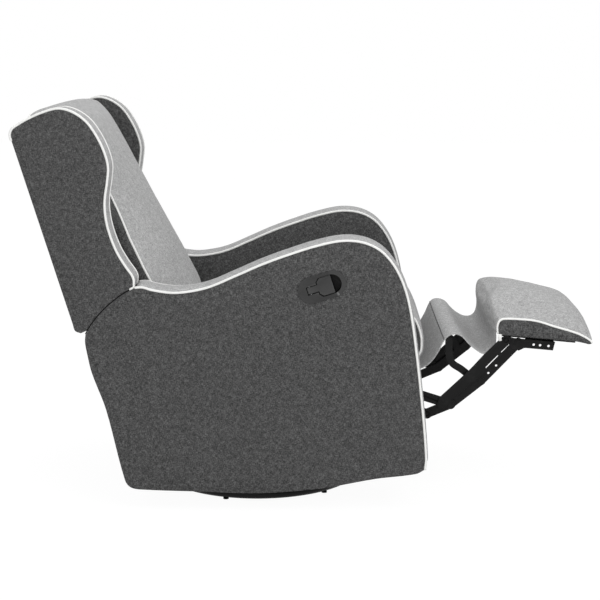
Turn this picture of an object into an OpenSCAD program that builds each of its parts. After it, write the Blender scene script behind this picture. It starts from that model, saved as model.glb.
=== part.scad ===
// Upholstered swivel glider recliner, drawn with its footrest open.
// X points to the front of the chair, Y to the sitter's left and Z up, and the floor is Z = 0.
// The chair is drawn level and then leans back on its base, as it does while the footrest is open.

/* [Stance] */
// Lean of the open chair on its base, in degrees
body_tilt = 6.5; // [0:0.5:7]
// Height of the tilt shaft above the floor
tilt_shaft_z = 200; // [196:1:206]
// Place of the swivel axis along the open chair, from its middle
stand_x = -134; // [-140:1:-128]

/* [Chair] */
// Width over both arms
chair_width = 700; // [680:5:740]
// Thickness of each arm
arm_width = 100; // [90:2:110]
// Length of each arm from back to front
arm_depth = 790; // [780:2:800]
// Height of each arm panel
arm_height = 603; // [597:2:609]
// Gap under the arms when the chair stands level
floor_gap = 40; // [38:1:46]
// Distance of the arm fronts ahead of the swivel axis
arm_front_x = 414; // [412:1:416]
// Bulge of the upholstered band between the two pipings
band_crown = 5; // [0:0.5:6]
// Thickness of foam and cloth on the outer face of an arm
arm_skin = 12; // [10:1:16]
// Thickness of foam and cloth round the edge of an arm
arm_padding = 22; // [18:1:26]

/* [Wooden frame] */
// Thickness of the arm frame boards
board = 24; // [18:1:26]
// Width of the arm frame members
arm_member = 44; // [36:1:50]
// Height of the seat rails
rail_height = 34; // [26:1:35]
// Width of the front and rear seat rails
rail_width = 27; // [22:1:30]
// Height of the top of the seat rails
rail_top = 300; // [299:0.5:301]
// Diameter of the seat spring wire
spring_wire = 3.5; // [2.5:0.25:3.5]
// Number of seat springs
spring_count = 5; // [3:1:6]

/* [Seat cushion] */
// Height of the seat cushion
seat_height = 161; // [140:1:166]
// Front of the seat cushion ahead of the arm fronts
seat_overhang = 24; // [10:1:30]
// Length of the seat cushion
seat_length = 563; // [550:1:565]
// Clearance between a cushion and the arms
cushion_gap = 4; // [2:0.5:8]

/* [Back] */
// Height of the recline pivot
recline_z = 314; // [312:1:316]
// Place of the recline pivot along the chair
recline_x = -140; // [-142:1:-138]
// Radius of the rounded rear shoulder of the arms
shoulder_r = 289; // [287:0.5:290]
// Gap between the arm shoulder and the wing
shoulder_gap = 3.5; // [2.5:0.5:6]
// Height of a wing panel
wing_height = 538; // [530:2:546]
// Depth of a wing panel
wing_depth = 242; // [238:1:246]
// Thickness of a wing panel
wing_width = 76; // [70:1:80]
// Set back of the wing faces behind the arm faces
wing_set_back = 4; // [2:0.5:8]
// Thickness of the rear panel of the back
back_panel = 12; // [8:1:14]
// Depth of the back posts
post_depth = 45; // [36:1:46]
// Width of the back posts
post_width = 26; // [20:1:27]
// Thickness of the webbing
webbing = 3; // [2:0.5:3]

/* [Footrest] */
// Length of the footrest pad
pad_length = 238; // [230:1:240]
// Distance of the pad's ends inside the inner faces of the arms
pad_set_in = 10; // [6:1:30]
// Thickness of the footrest pad at its sides
pad_thickness = 46; // [40:1:47]
// Rise of the pad towards its middle
pad_crown = 22; // [10:1:26]
// Thickness of the footrest board
footrest_board_t = 8; // [6:0.5:8]
// Slope of the open footrest, in degrees
footrest_slope = 11.6; // [10:0.2:13]

/* [Linkage] */
// Thickness of the linkage plates
plate = 3; // [2:0.25:3.5]
// Gap between two linkage plates
plate_gap = 1.5; // [1:0.1:1.6]
// Width of the side seat rails, between the linkage plates and the arms
side_rail_width = 28; // [28:0.5:29]
// Width of the linkage bars
link_width = 25; // [22:0.5:27]
// Radius of the pivot rivets
rivet_r = 4; // [3:0.25:4.5]
// Radius of the rivet heads
rivet_head_r = 8.5; // [7:0.25:10]
// Radial clearance of a rivet in its hole
rivet_clearance = 0.05; // [0.02:0.01:0.08]
// Radius of the torque tube
torque_tube_r = 8; // [6:0.5:9]

/* [Glider and swivel] */
// Radius of the floor ring, to the middle of its tube
ring_r = 254; // [240:1:256]
// Radius of the ring's tube
ring_tube_r = 11; // [8:0.5:11.5]
// Height of the floor pads
pad_height = 4; // [3:0.5:5]
// Radius of the floor pads
floor_pad_r = 7; // [5:0.5:10]
// Radius of the swivel plates
swivel_r = 80; // [70:1:90]
// Height of the swivel bearing
bearing_height = 10; // [8:0.5:10]
// Radius of the swivel bolt
bolt_r = 8; // [6:0.5:10]
// Length of the glide links between their pivots
glide_link = 115; // [105:1:116]
// Distance from the middle to the front and rear glide pivots
glide_pivot_x = 95; // [90:1:98]
// Height of the upper glide pivots
glide_pivot_z = 190; // [188:0.5:191]
// Thickness of the glide plates
glide_plate = 4; // [3:0.25:4.5]
// Radius of the tilt shaft
tilt_shaft_r = 10; // [8:0.5:11]
// Distance of the glide uprights inside the linkage plates
glide_inset = 72; // [71:1:78]

/* [Release handle] */
// Length of the handle's surround
bezel_length = 118; // [110:1:124]
// Height of the handle's surround
bezel_height = 63; // [58:1:66]
// Depth of the finger cup
cup_depth = 24; // [20:1:26]
// Wall of the finger cup
cup_wall = 2.5; // [2:0.25:3]
// Distance of the handle behind the arm front
handle_set_back = 207; // [200:1:214]
// Depth of the handle below the highest place of the arm
handle_drop = 103; // [99:1:107]
// Slope of the handle along the arm, in degrees
handle_slope = 11.5; // [9:0.5:13]
// Length of the paddle
paddle_length = 62; // [58:1:63]
// Height of the paddle's head
paddle_head = 44; // [40:1:45]
// Height of the paddle's stem
paddle_stem = 17; // [14:0.5:17.5]
// Thickness of the paddle
paddle_t = 8; // [6:0.5:9]

/* [Hidden] */
$fn = 48;

// One overrun serves every cut.
over = 1;
// The waist of a flat link, as a share of the width of its ends.
waist_share = 0.96;

arm_rear_x = arm_front_x - arm_depth;
arm_in = chair_width / 2 - arm_width;
arm_out = chair_width / 2;
cushion_half = arm_in - cushion_gap;
rail_bottom = rail_top - rail_height;
plate_y = arm_in - side_rail_width;
glide_y = plate_y - glide_inset;
pad_width = 2 * (arm_in - pad_set_in);
handle_x = arm_front_x - handle_set_back;
handle_z = floor_gap + arm_height - handle_drop;

// Curves and solids.

function spline_point(a, b, c, d, t) =
  0.5 * (2 * b + (c - a) * t + (2 * a - 5 * b + 4 * c - d) * t * t + (3 * b - a - 3 * c + d) * t * t * t);

// A smooth open curve through the points, with steps places on each stretch.
function smooth(p, steps) = [
  for (i = [0:len(p) - 2], s = [0:steps - 1])
    spline_point(p[max(i - 1, 0)], p[i], p[i + 1], p[min(i + 2, len(p) - 1)], s / steps),
  p[len(p) - 1]
];

function arc(centre, r, from, to, steps) = [
  for (i = [0:steps])
    let (a = from + (to - from) * i / steps)
    [centre.x + r * cos(a), centre.y + r * sin(a)]
];

// Outward unit normal of a clockwise outline at point i.
function normal_at(p, i) =
  let (n = len(p), d = p[(i + 1) % n] - p[(i + n - 1) % n])
  [-d.y, d.x] / norm(d);

// Moves each point of a clockwise outline outwards by the amount times its own share.
function swollen(p, amount, shares) = [
  for (i = [0:len(p) - 1]) p[i] + normal_at(p, i) * amount * shares[i]
];

// A solid skinned over a list of rings that have equal numbers of points.
module skin(rings) {
  n = len(rings[0]);
  m = len(rings);
  polyhedron(
    points = [for (ring = rings) each ring],
    faces = [
      [for (i = [0:n - 1]) i],
      for (k = [0:m - 2], i = [0:n - 1])
        each let (a = k * n + i, b = k * n + (i + 1) % n, c = a + n, d = b + n)
          [[a, c, b], [b, c, d]],
      [for (i = [n - 1:-1:0]) (m - 1) * n + i]
    ]
  );
}

// An upholstered panel in the XZ plane, whose edge bulges between its two faces.
module padded_panel(outline, y0, y1, crown, crown_shares) {
  bulge_shares = [[0, 0], [0.12, 0.7], [0.5, 1], [0.88, 0.7], [1, 0]];
  skin([
    for (b = bulge_shares)
      let (ring = swollen(outline, crown * b.y, crown_shares))
      [for (q = ring) [q.x, y0 + (y1 - y0) * b.x, q.y]]
  ]);
}

ring_points = 36;

// A level ring of a cushion, from x0 to x1, with rounded corners.
function cushion_ring(x0, x1, half, z, squareness) = [
  for (i = [0:ring_points - 1])
    let (a = 360 * (i + 0.5) / ring_points, c = cos(a), s = sin(a))
    [
      (x0 + x1) / 2 + (x1 - x0) / 2 * sign(c) * pow(abs(c), squareness),
      half * sign(s) * pow(abs(s), squareness),
      z
    ]
];

// Pulls a flat outline in the XZ plane out between two Y values.
module across(y0, y1) {
  translate([0, y1, 0]) rotate([90, 0, 0]) linear_extrude(y1 - y0) children();
}

// A round bar along Y.
module rod(x, z, r, y0, y1) {
  translate([x, y0, z]) rotate([-90, 0, 0]) cylinder(r = r, h = y1 - y0);
}

// A flat bar with round ends through a row of points. Its ends are a little wider than its waist, like a pressed link's.
module chain(points, width) {
  for (p = points) translate(p) circle(d = width);
  for (i = [1:len(points) - 1]) {
    p = points[i - 1];
    d = points[i] - p;
    translate(p) rotate(atan2(d.y, d.x))
      translate([0, -width * waist_share / 2]) square([norm(d), width * waist_share]);
  }
}

module bar(p, q, width) {
  chain([p, q], width);
}

module hole(p, r) {
  translate(p) circle(r = r);
}

module both_sides() {
  children();
  mirror([0, 1, 0]) children();
}

module on_base() {
  translate([stand_x, 0, 0]) children();
}

module tilted() {
  on_base()
    translate([0, 0, tilt_shaft_z])
      rotate([0, -body_tilt, 0])
        translate([0, 0, -tilt_shaft_z])
          children();
}

// Swivel base.

spoke_width = 36;
spoke_height = 12;
hub_r = 60;
ring_z = pad_height + ring_tube_r;
spoke_top = ring_z + spoke_height / 2;
swivel_plate_t = 4;
lower_plate_top = spoke_top + swivel_plate_t;
bearing_top = lower_plate_top + bearing_height;
upper_plate_top = bearing_top + swivel_plate_t;
bolt_head_h = 6;
bolt_head_r = 14;
pad_count = 6;
// Turn of the floor pads against the front of the chair, in degrees
pad_turn = 13;

module base_ring() {
  color("#1b1b1b") on_base() {
    difference() {
      union() {
        translate([0, 0, ring_z])
          rotate_extrude($fn = 96) translate([ring_r, 0]) circle(r = ring_tube_r);
        for (a = [45, 135])
          rotate(a) translate([-ring_r, -spoke_width / 2, ring_z - spoke_height / 2])
            cube([2 * ring_r, spoke_width, spoke_height]);
        translate([0, 0, ring_z - spoke_height / 2]) cylinder(r = hub_r, h = spoke_height);
      }
      translate([0, 0, ring_z - spoke_height / 2 - over])
        cylinder(r = bolt_r + rivet_clearance, h = spoke_height + 2 * over);
    }
  }
}

module floor_pads() {
  color("#101010") on_base()
    for (i = [0:pad_count - 1])
      rotate(pad_turn + 360 / pad_count * i)
        translate([ring_r, 0, 0]) cylinder(r = floor_pad_r, h = pad_height);
}

module swivel_lower_plate() {
  color("#2a2a2a") on_base()
    difference() {
      translate([0, 0, spoke_top]) cylinder(r = swivel_r, h = swivel_plate_t);
      translate([0, 0, spoke_top - over])
        cylinder(r = bolt_r + rivet_clearance, h = swivel_plate_t + 2 * over);
    }
}

module swivel_bearing() {
  race = 14;
  color("silver") on_base()
    difference() {
      translate([0, 0, lower_plate_top]) cylinder(r = swivel_r - race / 2, h = bearing_height);
      translate([0, 0, lower_plate_top - over])
        cylinder(r = swivel_r - race / 2 - race, h = bearing_height + 2 * over);
    }
}

module swivel_bolt() {
  color("silver") on_base() {
    translate([0, 0, ring_z - spoke_height / 2]) cylinder(r = bolt_r, h = upper_plate_top - ring_z + spoke_height / 2);
    translate([0, 0, upper_plate_top]) cylinder(r = bolt_head_r, h = bolt_head_h, $fn = 6);
  }
}

module swivel_upper_plate() {
  color("#2a2a2a") on_base()
    difference() {
      translate([0, 0, bearing_top]) cylinder(r = swivel_r, h = swivel_plate_t);
      translate([0, 0, bearing_top - over])
        cylinder(r = bolt_r + rivet_clearance, h = swivel_plate_t + 2 * over);
    }
}

// Glider.

glide_pin_r = 5;
glide_pin_head_r = 9;
glide_pin_head_t = 3;
glide_gap = 2;
glide_foot = 34;
glide_foot_z = upper_plate_top;
glide_overhang = 30;
glide_reach = glide_pivot_x + glide_overhang;
channel_width = 34;
channel_height = 14;
channel_edge = 6;
channel_x = swivel_r - channel_width - channel_edge;
glide_lower_z = glide_pivot_z - glide_link;
glide_link_y = glide_y + glide_plate + glide_gap;
glide_side_y = glide_link_y + glide_plate + glide_gap;
cross_tube_reach = 95;
cross_tube_x = glide_pivot_x + cross_tube_reach;
cross_tube_r = 10;

module glider_upright() {
  horn = 26;
  difference() {
    union() {
      translate([-glide_reach, glide_foot_z]) square([2 * glide_reach, glide_foot]);
      for (s = [-1, 1])
        bar([s * glide_pivot_x, glide_foot_z + glide_foot / 2], [s * glide_pivot_x, glide_pivot_z], horn);
    }
    for (s = [-1, 1])
      hole([s * glide_pivot_x, glide_pivot_z], glide_pin_r + rivet_clearance);
  }
}

module glider_base() {
  color("#232323") on_base() {
    both_sides() across(glide_y, glide_y + glide_plate) glider_upright();
    for (s = [-1, 1])
      translate([s * (channel_x + channel_width / 2) - channel_width / 2, -glide_y - over, glide_foot_z])
        cube([channel_width, 2 * (glide_y + over), channel_height]);
  }
}

module glide_upper_pins() {
  color("silver") on_base() both_sides()
    for (s = [-1, 1]) {
      rod(s * glide_pivot_x, glide_pivot_z, glide_pin_r, glide_y, glide_link_y + glide_plate);
      rod(s * glide_pivot_x, glide_pivot_z, glide_pin_head_r, glide_y - glide_pin_head_t, glide_y);
    }
}

module glide_lower_pins() {
  color("silver") on_base() both_sides()
    for (s = [-1, 1]) {
      rod(s * glide_pivot_x, glide_lower_z, glide_pin_r, glide_link_y, glide_side_y + glide_plate);
      rod(s * glide_pivot_x, glide_lower_z, glide_pin_head_r, glide_side_y + glide_plate,
        glide_side_y + glide_plate + glide_pin_head_t);
    }
}

module glide_link_pair(s) {
  width = 24;
  on_base() both_sides() across(glide_link_y, glide_link_y + glide_plate)
    difference() {
      bar([s * glide_pivot_x, glide_lower_z], [s * glide_pivot_x, glide_pivot_z], width);
      hole([s * glide_pivot_x, glide_lower_z], glide_pin_r + rivet_clearance);
      hole([s * glide_pivot_x, glide_pivot_z], glide_pin_r + rivet_clearance);
    }
}

module glide_links_front() {
  color("#303030") glide_link_pair(1);
}

module glide_links_rear() {
  color("#303030") glide_link_pair(-1);
}

module glide_side() {
  chord = 30;
  boss = 20;
  foot = [cross_tube_x, glide_lower_z];
  difference() {
    union() {
      chain([[-foot.x, foot.y], [0, tilt_shaft_z], foot], chord);
      translate([-foot.x, foot.y - chord * waist_share / 2]) square([2 * foot.x, chord * waist_share]);
      hole([0, tilt_shaft_z], boss);
    }
    for (s = [-1, 1]) {
      hole([s * glide_pivot_x, glide_lower_z], glide_pin_r + rivet_clearance);
      hole([s * foot.x, foot.y], cross_tube_r);
    }
    hole([0, tilt_shaft_z], tilt_shaft_r);
  }
}

module glide_plate_left() {
  color("#232323") on_base() across(glide_side_y, glide_side_y + glide_plate) glide_side();
}

module glide_plate_right() {
  color("#232323") on_base() across(-glide_side_y - glide_plate, -glide_side_y) glide_side();
}

module glide_cross_tubes() {
  wall = 2;
  color("#232323") on_base()
    for (s = [-1, 1])
      difference() {
        rod(s * cross_tube_x, glide_lower_z, cross_tube_r, -glide_side_y - glide_plate, glide_side_y + glide_plate);
        rod(s * cross_tube_x, glide_lower_z, cross_tube_r - wall, -glide_side_y - glide_plate - over,
          glide_side_y + glide_plate + over);
      }
}

module tilt_shaft() {
  color("silver") on_base()
    rod(0, tilt_shaft_z, tilt_shaft_r, -plate_y, plate_y);
}

// Arms.

// Places round an arm, clockwise from behind its crest, as shares of its depth and height.
arm_shares = [
  [0.196, 0.903], [0.224, 0.888], [0.284, 0.868], [0.340, 0.866], [0.401, 0.876], [0.480, 0.907],
  [0.566, 0.942], [0.653, 0.970], [0.739, 0.992], [0.818, 1.000], [0.884, 0.980], [0.934, 0.932],
  [0.972, 0.844], [0.992, 0.730], [0.999, 0.556], [1.000, 0.267], [0.996, 0.085], [0.989, 0.037],
  [0.961, 0.023], [0.834, 0.020], [0.666, 0.004], [0.478, 0.010], [0.299, 0.042], [0.122, 0.075],
  [0.079, 0.090], [0.063, 0.124], [0.035, 0.425], [0.005, 0.680]
];
// Stretches of the shoulder arc, which starts and ends at these angles about the recline pivot.
shoulder_from = 146;
shoulder_to = 110;
shoulder_steps = 7;
recline = [recline_x, recline_z];

function in_box(shares, x, z, width, height) = [for (s = shares) [x + s.x * width, z + s.y * height]];

arm_curve = concat(
  arc(recline, shoulder_r, shoulder_from, shoulder_to, shoulder_steps),
  smooth(in_box(arm_shares, arm_rear_x, floor_gap, arm_depth, arm_height), 2)
);
// The bulge fades out under the arm and is left out on the shoulder, where the wing passes.
arm_crown_shares = [
  for (i = [0:len(arm_curve) - 1])
    i <= shoulder_steps + 1 ? 0 : min(1, max(0, 1 + 1.3 * normal_at(arm_curve, i).y))
];

// The hollow inside an arm, as shares of the arm's depth and height.
hollow_shares = [
  [0.165, 0.845], [0.290, 0.815], [0.400, 0.820], [0.560, 0.885], [0.735, 0.940], [0.830, 0.945],
  [0.895, 0.890], [0.945, 0.790], [0.968, 0.640], [0.968, 0.090], [0.850, 0.070], [0.660, 0.055],
  [0.480, 0.060], [0.300, 0.090], [0.115, 0.125], [0.075, 0.450], [0.050, 0.690], [0.095, 0.770]
];
// The open middle of the wooden arm frame.
window_shares = [
  [0.190, 0.770], [0.295, 0.740], [0.400, 0.745], [0.560, 0.810], [0.730, 0.862], [0.800, 0.862],
  [0.850, 0.815], [0.890, 0.740], [0.905, 0.600], [0.905, 0.165], [0.800, 0.150], [0.660, 0.130],
  [0.480, 0.135], [0.310, 0.165], [0.180, 0.195], [0.150, 0.430], [0.120, 0.660], [0.140, 0.720]
];
// The opening in the inner face, below the seat rails, as shares of the arm.
service_from = [0.190, 0.115];
service_to = [0.880, 0.350];
frame_gap = 0.4;

function arm_box(shares) = in_box(shares, arm_rear_x, floor_gap, arm_depth, arm_height);

function centre_of(p) = [for (k = [0, 1]) (max([for (q = p) q[k]]) + min([for (q = p) q[k]])) / 2];

// Draws an outline a little smaller, so that it sits inside its own hollow.
function eased(p, gap) =
  [for (i = [0:len(p) - 1]) p[i] - normal_at(p, i) * gap];

module arm_pad() {
  difference() {
    padded_panel(arm_curve, arm_in, arm_out, band_crown, arm_crown_shares);
    across(arm_in + arm_skin, arm_out - arm_skin) polygon(arm_box(hollow_shares));
    across(arm_in - over, arm_in + arm_skin + over) {
      low = arm_box([service_from])[0];
      high = arm_box([service_to])[0];
      translate(low) square(high - low);
    }
  }
}

module arm_pad_left() {
  color("#565656") tilted() arm_pad();
}

module arm_pad_right() {
  color("#565656") tilted()
    difference() {
      mirror([0, 1, 0]) arm_pad();
      at_handle() translate([0, 0, -arm_skin - over]) linear_extrude(arm_skin + band_crown + 2 * over)
        stadium(bezel_length - 2 * bezel_lip + 2 * frame_gap, bezel_height - 2 * bezel_lip + 2 * frame_gap);
    }
}

module arm_frame() {
  across(arm_in + arm_skin + frame_gap, arm_in + arm_skin + frame_gap + board)
    difference() {
      polygon(eased(arm_box(hollow_shares), frame_gap));
      polygon(arm_box(window_shares));
    }
}

module arm_frame_left() {
  color("#c9a16b") tilted() arm_frame();
}

module arm_frame_right() {
  color("#c9a16b") tilted() mirror([0, 1, 0]) arm_frame();
}

// Seat.

rear_rail_set = 76;
front_rail_set = 42;
rear_rail_x = arm_rear_x + rear_rail_set;
front_rail_x = arm_front_x - front_rail_set;
spring_pitch = 48;
spring_swing = 18;
spring_step = 6;
deck_gap = 0.5;
// Lower values give squarer corners.
seat_squareness = 0.3;
back_squareness = 0.22;

module seat_frame() {
  color("#c9a16b") tilted() {
    both_sides()
      translate([rear_rail_x, plate_y, rail_bottom])
        cube([front_rail_x - rear_rail_x, arm_in - plate_y, rail_height]);
    for (x = [rear_rail_x, front_rail_x - rail_width])
      translate([x, -plate_y, rail_bottom]) cube([rail_width, 2 * plate_y, rail_height]);
  }
}

// Half the width of the wire, either side of a wave.
function wave(x, side) =
  let (a = 360 * x / spring_pitch, slope = spring_swing * cos(a) * 2 * PI / spring_pitch)
  [x, spring_swing * sin(a)] + side * spring_wire / 2 * [-slope, 1] / sqrt(1 + slope * slope);

module seat_springs() {
  first = rear_rail_x + rail_width / 2;
  length = front_rail_x - rear_rail_x - rail_width;
  pitch = 2 * plate_y / (spring_count + 1);
  color("silver") tilted()
    for (i = [1:spring_count])
      translate([first, -plate_y + pitch * i, rail_top]) linear_extrude(spring_wire)
        polygon(concat(
          [for (x = [0:spring_step:length]) wave(x, 1)],
          [for (x = [length:-spring_step:0]) wave(x, -1)]
        ));
}

module seat_cushion() {
  z0 = rail_top + spring_wire + deck_gap;
  x1 = arm_front_x + seat_overhang;
  x0 = x1 - seat_length;
  // Height share, then how far the sides draw in at that height, in shares of the cushion's height.
  side_shares = [
    [0, 0.25], [0.06, 0.12], [0.16, 0.05], [0.4, 0], [0.72, 0.01], [0.82, 0.06], [0.90, 0.19], [0.96, 0.45],
    [1, 0.9]
  ];
  color("#b0b0b0") tilted()
    skin([
      for (s = side_shares)
        let (in = s.y * seat_height)
        cushion_ring(x0 + in, x1 - in, cushion_half - in, z0 + s.x * seat_height, seat_squareness)
    ]);
}

rear_skin = 14;
// Places up the rear panel and at its rail, as shares of an arm.
rear_panel_shares = [[0.081, 0.095], [0.035, 0.425], [0.004, 0.716]];
rear_rail_share = [0.072, 0.160];

module rear_panel() {
  back = arm_box(rear_panel_shares);
  front = [for (i = [len(back) - 1:-1:0]) back[i] + [rear_skin, 0]];
  color("#565656") tilted() across(-arm_in, arm_in) polygon(concat(back, front));
}

module rear_rails() {
  low = arm_box([rear_rail_share])[0];
  color("#c9a16b") tilted()
    translate([low.x + rear_skin, -arm_in, low.y]) cube([board, 2 * arm_in, arm_member]);
}

module leg_flap() {
  cloth = 8;
  // Places along the top of the flap, from the front rail to the pad, as shares of the gap that it spans.
  flap_shares = [
    [0, -0.042], [0.082, -0.012], [0.178, -0.004], [0.248, 0.008], [0.331, 0.075], [0.423, 0.204], [0.473, 0.278],
    [0.531, 0.306], [0.593, 0.294], [0.664, 0.233], [0.735, 0.158], [0.814, 0.100], [0.897, 0.071],
    [0.959, 0.112], [0.993, 0.187], [1, 0.258]
  ];
  start = [front_rail_x + deck_gap, rail_top];
  finish = footrest_at([-pad_rear - cloth, 0]);
  span = finish.x - start.x;
  top = smooth([for (s = flap_shares) start + s * span], 2);
  // The ends take the direction of their last stretch.
  n = len(top);
  under = [
    for (i = [n - 1:-1:0])
      let (d = top[min(i + 1, n - 1)] - top[max(i - 1, 0)])
      top[i] + [d.y, -d.x] / norm(d) * cloth
  ];
  color("#a4a4a4") tilted() across(-flap_half, flap_half) polygon(concat(top, under));
}

// Footrest linkage.

layer_step = plate + plate_gap;
function layer_y(k) = plate_y - plate - k * layer_step;

crank_pivot = [298, 270];
beam_pivot = [491, 184];
pad_pivot = [673, 322];
beam_rivet = [572, 236];
tail = [430, 166];
control_pivot = [240, 257];
crank_pin_r = 23;
coupler_pin = beam_pivot + crank_pin_r * [cos(172), sin(172)];
bracket_pin_r = 32;
bracket_pin = pad_pivot + bracket_pin_r * [cos(158), sin(158)];
// Play of the open pivots, where a link meets a pin that it doesn't turn on.
tail_play = 2.4;
bracket_play = 2.8;
hub_cam_r = 21;
latch_pivot = [249, 283];
latch_gap = 0.6;
cable_end = [226, 243];
cable_r = 2.5;
cable_play = 0.4;
flap_set_in = 20;
flap_half = pad_width / 2 - flap_set_in;
bar_r = 8;
support_bar = [500, 355];
support_leg = [[508, 206], [481, 250], [478, 292]];
beam_holes = [[593, 253], [614, 270]];
mechanism_outline = [
  [-34, 196], [-28, 174], [0, 164], [40, 170], [200, 205], [260, 214], [338, 234], [344, 292], [-30, 292], [-40, 230]
];

footrest_corner = [643, 340];
pad_rear = 25;
// The board stays inside the linkage and sits on a flange of each bracket.
board_set_in = 22;
board_half = plate_y - board_set_in;
flange_width = 26;
// Places on a footrest bracket, along the slope of the footrest and square to it.
bracket_top_edge = [[4, 0], [124, 0], [121, -22], [54, -22]];
bracket_foot = [[14, -14], [0, -19], [-16, -12]];
bracket_holes = [[72, -12], [88, -12], [109, -12]];
flange_ends = [52, 122];
board_ends = [-10, 176];
function footrest_at(s) =
  footrest_corner + [s.x * cos(footrest_slope) + s.y * sin(footrest_slope),
    -s.x * sin(footrest_slope) + s.y * cos(footrest_slope)];

module layer(k, side) {
  y = layer_y(k);
  tilted() {
    if (side > 0) across(y, y + plate) children();
    else across(-y - plate, -y) children();
  }
}

// Thickness of a rivet head, which fits between two layers.
rivet_head_t = plate_gap * 0.8;

// A rivet through the plates from one layer to another, with a head on the outer one.
module rivet(p, from, to) {
  rod(p.x, p.y, rivet_r, layer_y(to), layer_y(from) + plate);
  rod(p.x, p.y, rivet_head_r, layer_y(from) + plate, layer_y(from) + plate + rivet_head_t);
}

// A rivet that is flush on its outer side, where a rail lies over it.
module flush_rivet(p, to) {
  rod(p.x, p.y, rivet_r, layer_y(to) - rivet_head_t, plate_y);
  rod(p.x, p.y, rivet_head_r, layer_y(to) - rivet_head_t, layer_y(to) - rivet_clearance);
}

module mechanism_shape() {
  difference() {
    polygon(mechanism_outline);
    hole([0, tilt_shaft_z], tilt_shaft_r + rivet_clearance);
    hole(crank_pivot, rivet_r + rivet_clearance);
    hole(control_pivot, rivet_r + rivet_clearance);
    hole(latch_pivot, rivet_r + rivet_clearance);
  }
}

module mechanism_plate_left() {
  color("#1f1f1f") layer(0, 1) mechanism_shape();
}

module mechanism_plate_right() {
  color("#1f1f1f") layer(0, -1)
    difference() {
      mechanism_shape();
      hole(cable_end, cable_r + cable_play);
    }
}

module mechanism_pivots() {
  color("#303030") tilted() {
    both_sides() {
      rod(crank_pivot.x, crank_pivot.y, rivet_r, layer_y(2), plate_y);
      flush_rivet(control_pivot, 2);
    }
    mirror([0, 1, 0]) flush_rivet(latch_pivot, 1);
  }
}

module crank_shape() {
  difference() {
    union() {
      bar(crank_pivot, beam_pivot, link_width);
      hole(crank_pivot, hub_cam_r);
      bar(beam_pivot, coupler_pin, link_width * 0.8);
    }
    hole(crank_pivot, rivet_r + rivet_clearance);
    hole(beam_pivot, rivet_r + rivet_clearance);
    hole(coupler_pin, rivet_r + rivet_clearance);
  }
}

module crank_left() {
  color("#1f1f1f") layer(2, 1) crank_shape();
}

module crank_right() {
  color("#1f1f1f") layer(2, -1) crank_shape();
}

module torque_tube() {
  wall = 2;
  y = layer_y(2);
  color("#1f1f1f") tilted()
    difference() {
      rod(crank_pivot.x, crank_pivot.y, torque_tube_r, -y, y);
      rod(crank_pivot.x, crank_pivot.y, torque_tube_r - wall, -y - over, y + over);
    }
}

module crank_rivets() {
  color("#303030") tilted() both_sides() {
    rivet(beam_pivot, 2, 3);
    rivet(coupler_pin, 1, 2);
  }
}

module control_links() {
  color("#1f1f1f")
    for (side = [-1, 1])
      layer(2, side)
        difference() {
          bar(control_pivot, tail, link_width);
          hole(control_pivot, rivet_r + rivet_clearance);
          hole(tail, rivet_r + tail_play);
        }
}

module beam_shape() {
  difference() {
    chain([tail, beam_pivot, beam_rivet, pad_pivot], link_width);
    hole(beam_pivot, rivet_r + rivet_clearance);
    hole(pad_pivot, rivet_r + rivet_clearance);
    for (p = beam_holes) hole(p, rivet_r * 0.7);
  }
}

module beam_left() {
  color("#1f1f1f") layer(3, 1) beam_shape();
}

module beam_right() {
  color("#1f1f1f") layer(3, -1) beam_shape();
}

module beam_rivets() {
  color("#303030") tilted() both_sides() {
    rod(beam_rivet.x, beam_rivet.y, rivet_head_r, layer_y(3) + plate, layer_y(3) + plate + rivet_head_t);
    rod(tail.x, tail.y, rivet_r, layer_y(3) + plate, layer_y(2) + plate);
  }
}

module flap_support() {
  width = link_width * 0.8;
  y = layer_y(3) - plate;
  color("#1f1f1f") tilted() {
    both_sides() across(y, y + plate) {
      chain(support_leg, width);
      bar(support_leg[len(support_leg) - 1], support_bar, 2 * bar_r);
    }
    rod(support_bar.x, support_bar.y, bar_r, -y, y);
  }
}

module coupler_shape() {
  difference() {
    bar(coupler_pin, bracket_pin, link_width * 0.8);
    hole(coupler_pin, rivet_r + rivet_clearance);
    hole(bracket_pin, rivet_r + bracket_play);
  }
}

module coupler_left() {
  color("#1f1f1f") layer(1, 1) coupler_shape();
}

module coupler_right() {
  color("#1f1f1f") layer(1, -1) coupler_shape();
}

module bracket_shape() {
  difference() {
    union() {
      polygon(concat(
        [for (s = bracket_top_edge) footrest_at(s)],
        [for (s = bracket_foot) pad_pivot + s],
        [bracket_pin]
      ));
      bar(bracket_pin, pad_pivot, link_width * 0.8);
    }
    hole(pad_pivot, rivet_r + rivet_clearance);
    hole(bracket_pin, rivet_r + rivet_clearance);
    for (s = bracket_holes) hole(footrest_at(s), rivet_r * 0.8);
  }
}

// A straight slab along the slope of the footrest, between two heights over the brackets.
module slab(ends, low, high) {
  polygon([
    footrest_at([ends[0], low]), footrest_at([ends[0], high]),
    footrest_at([ends[1], high]), footrest_at([ends[1], low])
  ]);
}

module bracket_flange() {
  y = layer_y(2);
  across(y - flange_width, y + plate) slab(flange_ends, -plate, 0);
}

module footrest_bracket_left() {
  color("#1f1f1f") {
    layer(2, 1) bracket_shape();
    tilted() bracket_flange();
  }
}

module footrest_bracket_right() {
  color("#1f1f1f") {
    layer(2, -1) bracket_shape();
    tilted() mirror([0, 1, 0]) bracket_flange();
  }
}

module footrest_rivets() {
  color("#303030") tilted() both_sides() {
    rivet(pad_pivot, 2, 3);
    rod(bracket_pin.x, bracket_pin.y, rivet_r, layer_y(2), layer_y(1) + plate);
  }
}

module footrest_board() {
  color("#c9a16b") tilted() across(-board_half, board_half) slab(board_ends, 0, footrest_board_t);
}

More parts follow.
